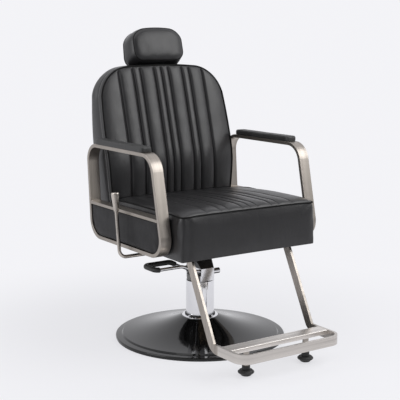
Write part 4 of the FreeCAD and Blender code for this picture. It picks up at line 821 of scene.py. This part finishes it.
def back_grid(half, step):
    """Columns, rows and outline points of a grid with these columns up to its corners."""
    side, arch = back_lines()
    span = BACK_SHOULDER[0] - BACK_INNER
    columns = with_corners(half, BACK_INNER, span, range(10, 91, 10))
    rows = grid_rows(BACK_TOP[1] - BACK_BOTTOM, step)
    tops = [along(arch, abs(x)) for x in columns]
    rising = [(z, x) for x, z in side]
    widths = [along(rising, BACK_BOTTOM + v * (BACK_SHOULDER[1] - BACK_BOTTOM)) for v in rows]

    def flat(i, j):
        x = columns[i]
        share = max((abs(x) - BACK_INNER) / span, 0.0)
        place = abs(x)
        if share > 0:
            place = BACK_INNER + share * (widths[j] - BACK_INNER)
        z = BACK_BOTTOM + rows[j] * (tops[i] - BACK_BOTTOM)
        return (math.copysign(place, x) if x else 0.0, z)

    return columns, rows, flat


def back_inward(i, j, flat, inset):
    """The same grid drawn in towards the middle by about an inset."""
    x, z = flat(i, j)
    middle = (BACK_BOTTOM + BACK_TOP[1]) / 2
    tall = (BACK_TOP[1] - BACK_BOTTOM) / 2
    return x * (1 - inset / BACK_SIDE[0]), middle + (z - middle) * (1 - inset / tall)


def make_back():
    columns, rows, flat = back_grid(quilt_columns(BACK_CHANNELS, BACK_INNER), QUILT_STEP)
    quilt = Quilt(columns, rows)
    reach = BACK_SHOULDER[0]

    def front(i, j):
        x, z = flat(i, j)
        u = abs(columns[i]) / reach
        v = abs(2 * rows[j] - 1)
        full = max(1 - v ** 6, 0.0) ** 0.5 * max(1 - u ** 5, 0.0) ** 0.5
        bulge = puff(columns[i], BACK_CHANNELS + (reach,), 6.0, 4.4, 2.2, 75, 0.75)
        rise = BACK_CROWN * full * (1 - 0.35 * u ** 2) + bulge * min(full * 1.5, 1.0)
        return (x, back_y(-rise, z), z)

    quilt.cover(front)
    quilt.outline(flat)
    quilt.pin_channels(BACK_CHANNELS)

    def band(point, outward, depth, inset):
        x, z = inward(point, outward, inset)
        return (x, back_y(depth, z), z)

    sides = ((1.8, 0.8), (5, -1.0), (9, -2.0), (13.5, -2.3), (17, -2.0), (20, -1.3), (22, -0.3))
    hidden = ((BACK_BAND - 0.3, 0.9), (BACK_BAND, 2.4), (BACK_BAND, 20.0), (20.0, CUSHION_SKIN))
    quilt.bands(band, sides)
    quilt.bands(band, hidden, pin=True)

    def rear(i, j):
        x, z = back_inward(i, j, flat, CUSHION_SKIN)
        return (x, back_y(20.0, z), z)

    quilt.close(rear)
    obj = quilt.build("back_cushion_padded", LEATHER, 4.0, 4.5)
    welt = [band(*spot, -1.2, 0.6) for spot in quilt.line]
    return obj, tube("back_piping", welt, 2.8, WELT)


def finish_back(obj):
    subdivide(obj)
    side, arch = back_lines()
    lean = math.atan(BACK_LEAN)

    def keep(p):
        if p.y > back_y(4.0, p.z):
            return 0.0
        return smooth_step(1, 14, min(along(arch, abs(p.x)) - p.z, p.z - BACK_BOTTOM + 6))

    def direction(p):
        return (0, 1, 0) if p.z < BACK_BEND else (0, math.cos(lean), -math.sin(lean))

    cut_channels(obj, BACK_CHANNELS, 6.2, 8.6, keep, direction)


def make_wrap():
    """Leather-covered rear half of the back: side band, rounded rear edge and rear panel."""
    half = [0.0, *spaced(0.0, BACK_INNER, WRAP_STEP), BACK_INNER]
    columns, rows, flat = back_grid(half, WRAP_STEP)
    quilt = Quilt(columns, rows)

    def rounding(z):
        """Radius of the rear edge, larger round the top."""
        return 7.0 + 9.0 * smooth_step(860.0, 935.0, z)

    def rear_panel(i, j):
        x, z = back_inward(i, j, flat, rounding(flat(i, j)[1]))
        u = abs(columns[i]) / BACK_SHOULDER[0]
        v = abs(2 * rows[j] - 1)
        full = max(1 - v ** 6, 0.0) ** 0.5 * max(1 - u ** 6, 0.0) ** 0.5
        return (x, back_rear_y(-2.5 * full, z), z)

    quilt.cover(rear_panel)
    quilt.outline(flat)

    def band(point, outward, share, ahead, inset):
        """A share of the way from the front band to a line ahead of the rear face."""
        x, z = inward(point, outward, inset)
        front = back_y(BACK_BAND + 0.4, z)
        return (x, front + (back_rear_y(ahead, z) - front) * share, z)

    def turned(point, outward, degrees):
        angle = math.radians(degrees)
        r = rounding(point[1])
        ahead, inset = r * (1 - math.sin(angle)), r * (1 - math.cos(angle)) - 0.6
        return band(point, outward, 1.0, ahead, inset)

    sides = [(share, 7.0, -1.0) for share in (0.8, 0.6, 0.4, 0.22)]
    sides += [(0.09, 7.0, -0.6), (0.03, 7.0, 0.1)]
    hidden = [(0.0, 0.0, 1.6), (0.0, 0.0, 3.4), (0.0, 0.0, 21.0), (0.08, 0.0, 21.8)]
    hidden += [(1.0, BACK_REAR_WALL + 1.8, 21.8), (1.0, BACK_REAR_WALL, WRAP_SKIN)]
    quilt.bands(turned, ((68,), (45,), (22,), (0,)))
    quilt.bands(band, sides)
    quilt.bands(band, hidden, pin=True)

    def inside(i, j):
        x, z = back_inward(i, j, flat, WRAP_SKIN)
        return (x, back_rear_y(BACK_REAR_WALL, z), z)

    quilt.close(inside)
    return quilt.build("back_wrap", LEATHER, 2.5, 3.0)


def finish_wrap(obj):
    """Cuts the holes of the headrest's guides and the slots of the hinge arms."""
    subdivide(obj)
    cutters = []
    for x in (-GUIDE_X, GUIDE_X):
        z = BACK_TOP[1] - 5.0
        bpy.ops.mesh.primitive_cylinder_add(
            vertices=32, radius=GUIDE_HOLE_R * MM, depth=GUIDE_HOLE_LENGTH * MM)
        cutter = bpy.context.object
        cutter.rotation_euler = (-math.atan(BACK_LEAN), 0, 0)
        cutter.location = Vector((x, back_y(GUIDE_DEPTH, z), z)) * MM
        cutters.append(cutter)
    for x in (-HINGE_X, HINGE_X):
        bpy.ops.mesh.primitive_cube_add(size=1.0)
        cutter = bpy.context.object
        cutter.scale = [side * MM for side in HINGE_SLOT]
        cutter.location = Vector((x, HINGE_Y, BACK_BOTTOM)) * MM
        cutters.append(cutter)
    for cutter in cutters:
        modifier = obj.modifiers.new("hole", "BOOLEAN")
        modifier.operation = "DIFFERENCE"
        modifier.solver = "EXACT"
        modifier.object = cutter
    apply_modifiers(obj)
    for cutter in cutters:
        mesh = cutter.data
        bpy.data.objects.remove(cutter)
        bpy.data.meshes.remove(mesh)


# Boxed pads: two faces drawn from rings of one outline, with a band between

CORNER_STEPS = 14


def rounded_outline(corners, radii):
    """Closed line with rounded corners, and where each corner's middle is on it."""
    line = []
    middles = []
    count = len(corners)
    for i, r in enumerate(radii):
        before, corner, after = (Vector(corners[(i + k) % count]) for k in (-1, 0, 1))
        to_before = (before - corner).normalized()
        to_after = (after - corner).normalized()
        half = to_before.angle(to_after) / 2
        reach = r / math.tan(half)
        centre = corner + (to_before + to_after).normalized() * (r / math.sin(half))
        start = corner + to_before * reach
        end = corner + to_after * reach
        a0, a1 = (math.atan2(p.y - centre.y, p.x - centre.x) for p in (start, end))
        turn = turn_between(a0, a1)
        for k in range(CORNER_STEPS + 1):
            if k == CORNER_STEPS // 2:
                middles.append(len(line))
            angle = a0 + turn * k / CORNER_STEPS
            line.append((centre.x + r * math.cos(angle), centre.y + r * math.sin(angle)))
    return line, middles


def rectangle(low_x, high_x, low_y, high_y):
    return [(low_x, low_y), (high_x, low_y), (high_x, high_y), (low_x, high_y)]


def even_stretch(line, start, end, count):
    """Points spread evenly along a closed line between two places, the end left out."""
    total = len(line)
    points = [Vector(line[(start + k) % total]) for k in range((end - start) % total + 1)]
    lengths = [0.0]
    for a, b in zip(points, points[1:]):
        lengths.append(lengths[-1] + (b - a).length)
    result = []
    k = 0
    for i in range(count):
        target = lengths[-1] * i / count
        while lengths[k + 1] < target:
            k += 1
        t = (target - lengths[k]) / max(lengths[k + 1] - lengths[k], TINY)
        result.append(points[k].lerp(points[k + 1], t))
    return result


class Pad(Quilt):
    """Boxed pad whose grid lines run round the outline."""

    def __init__(self, corners, radii, across, up, bend=None):
        columns = [2 * i / across - 1 for i in range(across + 1)]
        rows = [2 * j / up - 1 for j in range(up + 1)]
        super().__init__(columns, rows)
        line, middles = rounded_outline(corners, radii)
        border = []
        for k, count in enumerate((across, up, across, up)):
            border += even_stretch(line, middles[k], middles[(k + 1) % 4], count)
        if bend:
            border = [bend(point) for point in border]
        self.border = {place: border[k] for k, place in enumerate(self.walk)}
        self.centre = sum(border, Vector((0, 0))) / len(border)
        self.across = across
        self.up = up

    def share(self, i, j):
        """Distance from the middle of the grid, 1 at its border."""
        return max(abs(self.columns[i]), abs(self.rows[j]))

    def on_border(self, i, j):
        """Point of the outline that lies beyond a grid place, seen from the middle."""
        m = self.share(i, j)
        if m < TINY:
            return self.centre
        a, b = self.columns[i] / m, self.rows[j] / m
        p = (a + 1) / 2 * self.across
        q = (b + 1) / 2 * self.up
        if abs(abs(b) - 1) < 1e-6:
            row = 0 if b < 0 else self.up
            low = min(int(p), self.across - 1)
            return self.border[(low, row)].lerp(self.border[(low + 1, row)], p - low)
        column = 0 if a < 0 else self.across
        low = min(int(q), self.up - 1)
        return self.border[(column, low)].lerp(self.border[(column, low + 1)], q - low)

    def flat(self, i, j, inset=0.0):
        m = self.share(i, j)
        point = self.centre.lerp(self.on_border(i, j), m)
        if inset:
            away = self.centre - point
            if away.length > 1e-6:
                point = point + away.normalized() * min(inset * m, away.length * 0.5)
        return (point.x, point.y)


def rolled(face, toward, radius, angles):
    """Rings round an edge between a face and the side: each one's place and inset."""
    turns = [math.radians(a) for a in angles]
    return [(face + toward * radius * (1 - math.sin(t)), radius * (1 - math.cos(t)))
            for t in turns]


HEAD_HALF = 102.0
HEAD_LOW = -60.0
HEAD_HIGH = 58.0
HEAD_Y = 309.5
HEAD_Z = 1016.0
HEAD_TILT = math.radians(-15.2)
HEAD_FACE = -38.0
HEAD_CROWN = 13.0
HEAD_SEAM = 24.0


def make_headrest():
    """Front panel with a hard seam, a fuller band and a rounded rear that hangs lower."""
    corners = rectangle(-HEAD_HALF, HEAD_HALF, HEAD_LOW, HEAD_HIGH)

    def arched(point):
        drop = 12.0 * (abs(point.x) / HEAD_HALF) ** 2.2 * max(point.y, 0.0) / HEAD_HIGH
        return Vector((point.x, point.y - drop))

    pad = Pad(corners, [33.0, 33.0, 46.0, 46.0], 32, 20, arched)

    def place(x, y, z):
        """From the headrest's own axes to the chair's."""
        rearward = smooth_step(-38.0, 24.0, y)
        x *= 1 - 0.05 * rearward * z / 50.0
        z -= rearward * (1.0 + 11.0 * smooth_step(-10.0, 50.0, -z))
        return (
            x,
            HEAD_Y + y * math.cos(HEAD_TILT) - z * math.sin(HEAD_TILT),
            HEAD_Z + y * math.sin(HEAD_TILT) + z * math.cos(HEAD_TILT),
        )

    def front(i, j):
        m = pad.share(i, j)
        x, z = pad.flat(i, j)
        full = max(1 - m ** 3.2, 0.0) ** 0.6
        crumple = math.sin(x * 0.115 + 0.9 * math.sin(z * 0.07)) * smooth_step(15.0, -30.0, z)
        return place(x, HEAD_FACE - HEAD_CROWN * full - 0.7 * crumple * full, z)

    pad.cover(front)
    pad.outline(pad.flat)

    def band(point, outward, y, inset):
        """Fuller at the sides than at the top and the foot."""
        x, z = inward(point, outward, inset, 0.45)
        return place(x, y, z)

    pad.bands(band, (
        (-36.4, -0.9), (-32, -3.4), (-25, -6.2), (-15, -8.4), (-4, -9.4), (8, -9.6), (18, -9.0),
        (HEAD_SEAM, -7.6), (28, -6.4), (33, -3.0), (37.5, 2.6), (40.6, 11.0),
    ))

    def rear(i, j):
        m = pad.share(i, j)
        x, z = pad.flat(i, j, 20.0)
        return place(x, 41.2 + 2.0 * (1 - m * m), z * 0.96)

    pad.close(rear)
    obj = pad.build("headrest_padded", LEATHER)
    welts = []
    for name, y, inset in (("headrest_front_welt", -37.8, -0.5),
                           ("headrest_rear_welt", HEAD_SEAM, -8.2)):
        line = [band(*spot, y, inset) for spot in pad.line]
        welts.append(tube(name, line, 1.3, WELT, sides=8))
    return obj, welts


ARM_BOTTOM = 358.6
ARM_FRONT = -266.0
ARM_REAR = 215.0
ARM_FRONT_LEAN = 0.22
ARM_REAR_LEAN = 0.0714
ARM_BAR = 12.0
ARM_INNER_X = 277.1
ARM_OUTER_X = 317.1
CROSSBAR = 476.0
PANEL_GAP = 0.5
PANEL_EDGE_R = 2.6
ARM_PAD_HALF = 21.0
ARM_PAD_FRONT = -138.0
ARM_PAD_REAR = 175.0
ARM_PAD_LOW = 688.0
ARM_PAD_HIGH = 706.0
ARM_PAD_EDGE_R = 6.0


def arm_panel_corners():
    """Corners of the space inside the loop's lower part, as (y, z)."""
    low = ARM_BOTTOM + ARM_BAR
    rise = CROSSBAR - low
    front = ARM_FRONT + ARM_FRONT_LEAN * ARM_BAR + ARM_BAR * math.sqrt(1 + ARM_FRONT_LEAN ** 2)
    rear = ARM_REAR + ARM_REAR_LEAN * ARM_BAR - ARM_BAR * math.sqrt(1 + ARM_REAR_LEAN ** 2)
    return [(front, low), (rear, low),
            (rear + ARM_REAR_LEAN * rise, CROSSBAR), (front + ARM_FRONT_LEAN * rise, CROSSBAR)]


def make_arm_panel(name, side):
    pad = Pad(arm_panel_corners(), [48.0, 58.0, 8.0, 8.0], 46, 12)
    low, high = ARM_INNER_X + 3.0, ARM_OUTER_X - 3.2

    def face(x, swell):
        def place(i, j):
            m = pad.share(i, j)
            y, z = pad.flat(i, j, PANEL_EDGE_R + PANEL_GAP)
            return (side * (x + swell * (1 - m ** 4)), y, z)
        return place

    pad.cover(face(high, 0.8))
    pad.pinned.clear()
    pad.outline(pad.flat)

    def band(point, outward, x, inset):
        return (side * x, *inward(point, outward, inset + PANEL_GAP))

    upright = (high - PANEL_EDGE_R - 4, (low + high) / 2, low + PANEL_EDGE_R + 4)
    pad.bands(band, rolled(high, -1, PANEL_EDGE_R, (60, 35, 12)))
    pad.bands(band, [(x, 0.0) for x in upright], pin=True)
    pad.bands(band, rolled(low, 1, PANEL_EDGE_R, (12, 35, 60)))
    pad.close(face(low, -0.6), pin=False)
    return pad.build(name, SHADED_PANEL_LEATHER, 3.0, 2.0)


def make_arm_pad(name, side):
    """Moulded arm pad: flat foot, upright sides and a gently crowned top."""
    centre = side * (ARM_INNER_X + ARM_OUTER_X) / 2
    corners = rectangle(centre - ARM_PAD_HALF, centre + ARM_PAD_HALF, ARM_PAD_FRONT, ARM_PAD_REAR)
    pad = Pad(corners, [9.0] * 4, 8, 44)

    def top(i, j):
        m = pad.share(i, j)
        x, y = pad.flat(i, j, ARM_PAD_EDGE_R)
        crown = 1.6 * (1 - abs(pad.columns[i]) ** 2) * min((1 - m) * 8 + 0.3, 1.0)
        return (x, y, ARM_PAD_HIGH + crown)

    def band(point, outward, z, inset):
        return (*inward(point, outward, inset), z)

    pad.cover(top)
    pad.outline(pad.flat)
    pad.bands(band, rolled(ARM_PAD_HIGH, -1, ARM_PAD_EDGE_R, (66, 42, 18)))
    pad.bands(band, ((699, 0.0), (693, 0.0), (689.6, 0.3), (688.3, 1.2), (ARM_PAD_LOW, 2.0)))
    pad.close(lambda i, j: (*pad.flat(i, j, 2.0), ARM_PAD_LOW))
    obj = pad.build(name, PAD_SKIN)
    subdivide(obj)
    return obj


# Build

dress_nodes()
seat, seat_piping = make_seat()
back, back_piping = make_back()
wrap = make_wrap()
headrest, headrest_welts = make_headrest()
panels = {name: make_arm_panel("arm_panel_padded_" + name, side) for name, side in SIDES}
run_inflation()
finish_seat(seat)
finish_back(back)
finish_wrap(wrap)
subdivide(headrest)
for panel in panels.values():
    subdivide(panel)
arm_pads = {name: make_arm_pad("arm_pad_moulded_" + name, side) for name, side in SIDES}

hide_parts("seat_cushion")
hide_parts("back_cushion")
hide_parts("back_shell")
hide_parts("headrest_cushion")
for name in ("left", "right"):
    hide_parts("arm_panel_" + name)
    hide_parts("arm_pad_" + name)
    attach(panels[name], "chair")
    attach(arm_pads[name], "chair")
for piece, body, finish in (
    (seat, "chair", "upholstery"),
    (seat_piping, "chair", "upholstery"),
    (back, "backrest", "upholstery"),
    (back_piping, "backrest", "upholstery"),
    (wrap, "backrest", "wrapped_plywood"),
    (headrest, "headrest", "upholstery"),
    (headrest_welts[0], "headrest", "upholstery"),
    (headrest_welts[1], "headrest", "upholstery"),
):
    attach(piece, body)


# Floor, light and camera, in metres

BACKDROP = (0.90, 0.90, 0.93, 1.0)
AMBIENT = (0.93, 0.94, 0.97, 1.0)
AMBIENT_STRENGTH = 0.47
FLOOR_COLOR = (0.86, 0.86, 0.885, 1.0)
FLOOR_RADIUS = 12.0
# Distances from the middle between which the floor's glow grows, and its shares there
FLOOR_GLOW = (0.45, 1.3, 0.7, 1.0)
# Reflections see the floor and the backdrop dimmer towards -Y
FLOOR_DIM = (-2.4, -1.2, 0.4, 1.0)
BACKDROP_DIM = (-0.8, -0.2, 0.34, 1.0)
# Name, place, target, width, height and power
SOFTBOXES = (
    ("overhead_softbox", (-0.5, 0.1, 3.0), (0.0, 0.0, 0.4), 2.4, 2.0, 10.0),
    ("left_softbox", (-2.6, 0.3, 1.7), (0.0, 0.0, 0.5), 1.4, 2.0, 20.0),
    ("right_softbox", (1.35, -1.7, 2.12), (0.0, 0.2, 0.8), 2.3, 2.0, 46.0),
)
CAMERA_PLACE = (-1.9011, -2.8185, 1.0615)
CAMERA_FORWARD = (0.5514, 0.8175, -0.1664)
CAMERA_LENS = 88.766


def make_floor():
    """Pale floor that shows the shadow and turns into the backdrop's colour further out."""
    n = Nodes("pale_floor")
    source = n.add("ShaderNodeTexCoord")
    length = n.add("ShaderNodeVectorMath", (source, "Object"), operation="LENGTH")
    far = n.range(length, *FLOOR_GLOW, out="Value", interpolation_type="SMOOTHSTEP")
    parts = n.add("ShaderNodeSeparateXYZ", (source, "Object"))
    strength = n.for_glossy(n.add("ShaderNodeLightPath"), n.range(parts, *FLOOR_DIM, out="Y"))
    glow = n.add("ShaderNodeEmission", Color=BACKDROP)
    n.link(strength, 0, glow, "Strength")
    blend = n.add("ShaderNodeMixShader", (far, 0), (n.shader, 0), (glow, 0))
    n.link(blend, 0, n.tree.nodes["Material Output"], "Surface")
    n.set(Base_Color=FLOOR_COLOR, Roughness=0.6, Specular_IOR_Level=0.2)
    bpy.ops.mesh.primitive_circle_add(vertices=96, radius=FLOOR_RADIUS, fill_type="NGON")
    floor = bpy.context.object
    floor.name = "floor"
    floor.data.materials.append(n.material)


def make_world():
    """Even ambient light; camera, glossy and transmission rays see the backdrop instead."""
    world = bpy.data.worlds.new("studio")
    scene.world = world
    world.use_nodes = True
    w = Tree(world.node_tree)
    background = w.tree.nodes["Background"]
    background.inputs["Color"].default_value = AMBIENT
    background.inputs["Strength"].default_value = AMBIENT_STRENGTH
    rays = w.add("ShaderNodeLightPath")
    parts = w.add("ShaderNodeSeparateXYZ", (w.add("ShaderNodeTexCoord"), "Generated"))
    dim = w.range(parts, *BACKDROP_DIM, out="Y", interpolation_type="SMOOTHSTEP")
    shown = w.add("ShaderNodeBackground", Color=BACKDROP)
    w.link(w.for_glossy(rays, dim), 0, shown, "Strength")
    clear = w.add("ShaderNodeMath", (rays, "Is Camera Ray"), (rays, "Is Transmission Ray"),
                  operation="MAXIMUM")
    clear = w.add("ShaderNodeMath", (clear, 0), (rays, "Is Glossy Ray"), operation="MAXIMUM")
    mix = w.add("ShaderNodeMixShader", (clear, 0), (background, 0), (shown, 0))
    w.link(mix, 0, w.tree.nodes["World Output"], "Surface")


def aimed(obj, place, direction):
    """Places a lamp or camera that looks in a direction."""
    obj.location = place
    obj.rotation_euler = direction.to_track_quat("-Z", "Y").to_euler()
    scene.collection.objects.link(obj)


def add_softbox(name, place, target, width, height, power):
    data = bpy.data.lights.new(name, "AREA")
    data.shape = "RECTANGLE"
    data.size = width
    data.size_y = height
    data.energy = power
    lamp = bpy.data.objects.new(name, data)
    lamp.visible_camera = False
    aimed(lamp, place, Vector(target) - Vector(place))


def make_camera():
    data = bpy.data.cameras.new("camera")
    data.lens = CAMERA_LENS
    data.sensor_width = 36.0
    data.clip_end = 100.0
    camera = bpy.data.objects.new("camera", data)
    aimed(camera, CAMERA_PLACE, Vector(CAMERA_FORWARD))
    scene.camera = camera


make_floor()
make_world()
for softbox in SOFTBOXES:
    add_softbox(*softbox)
make_camera()
scene.view_settings.view_transform = "Standard"
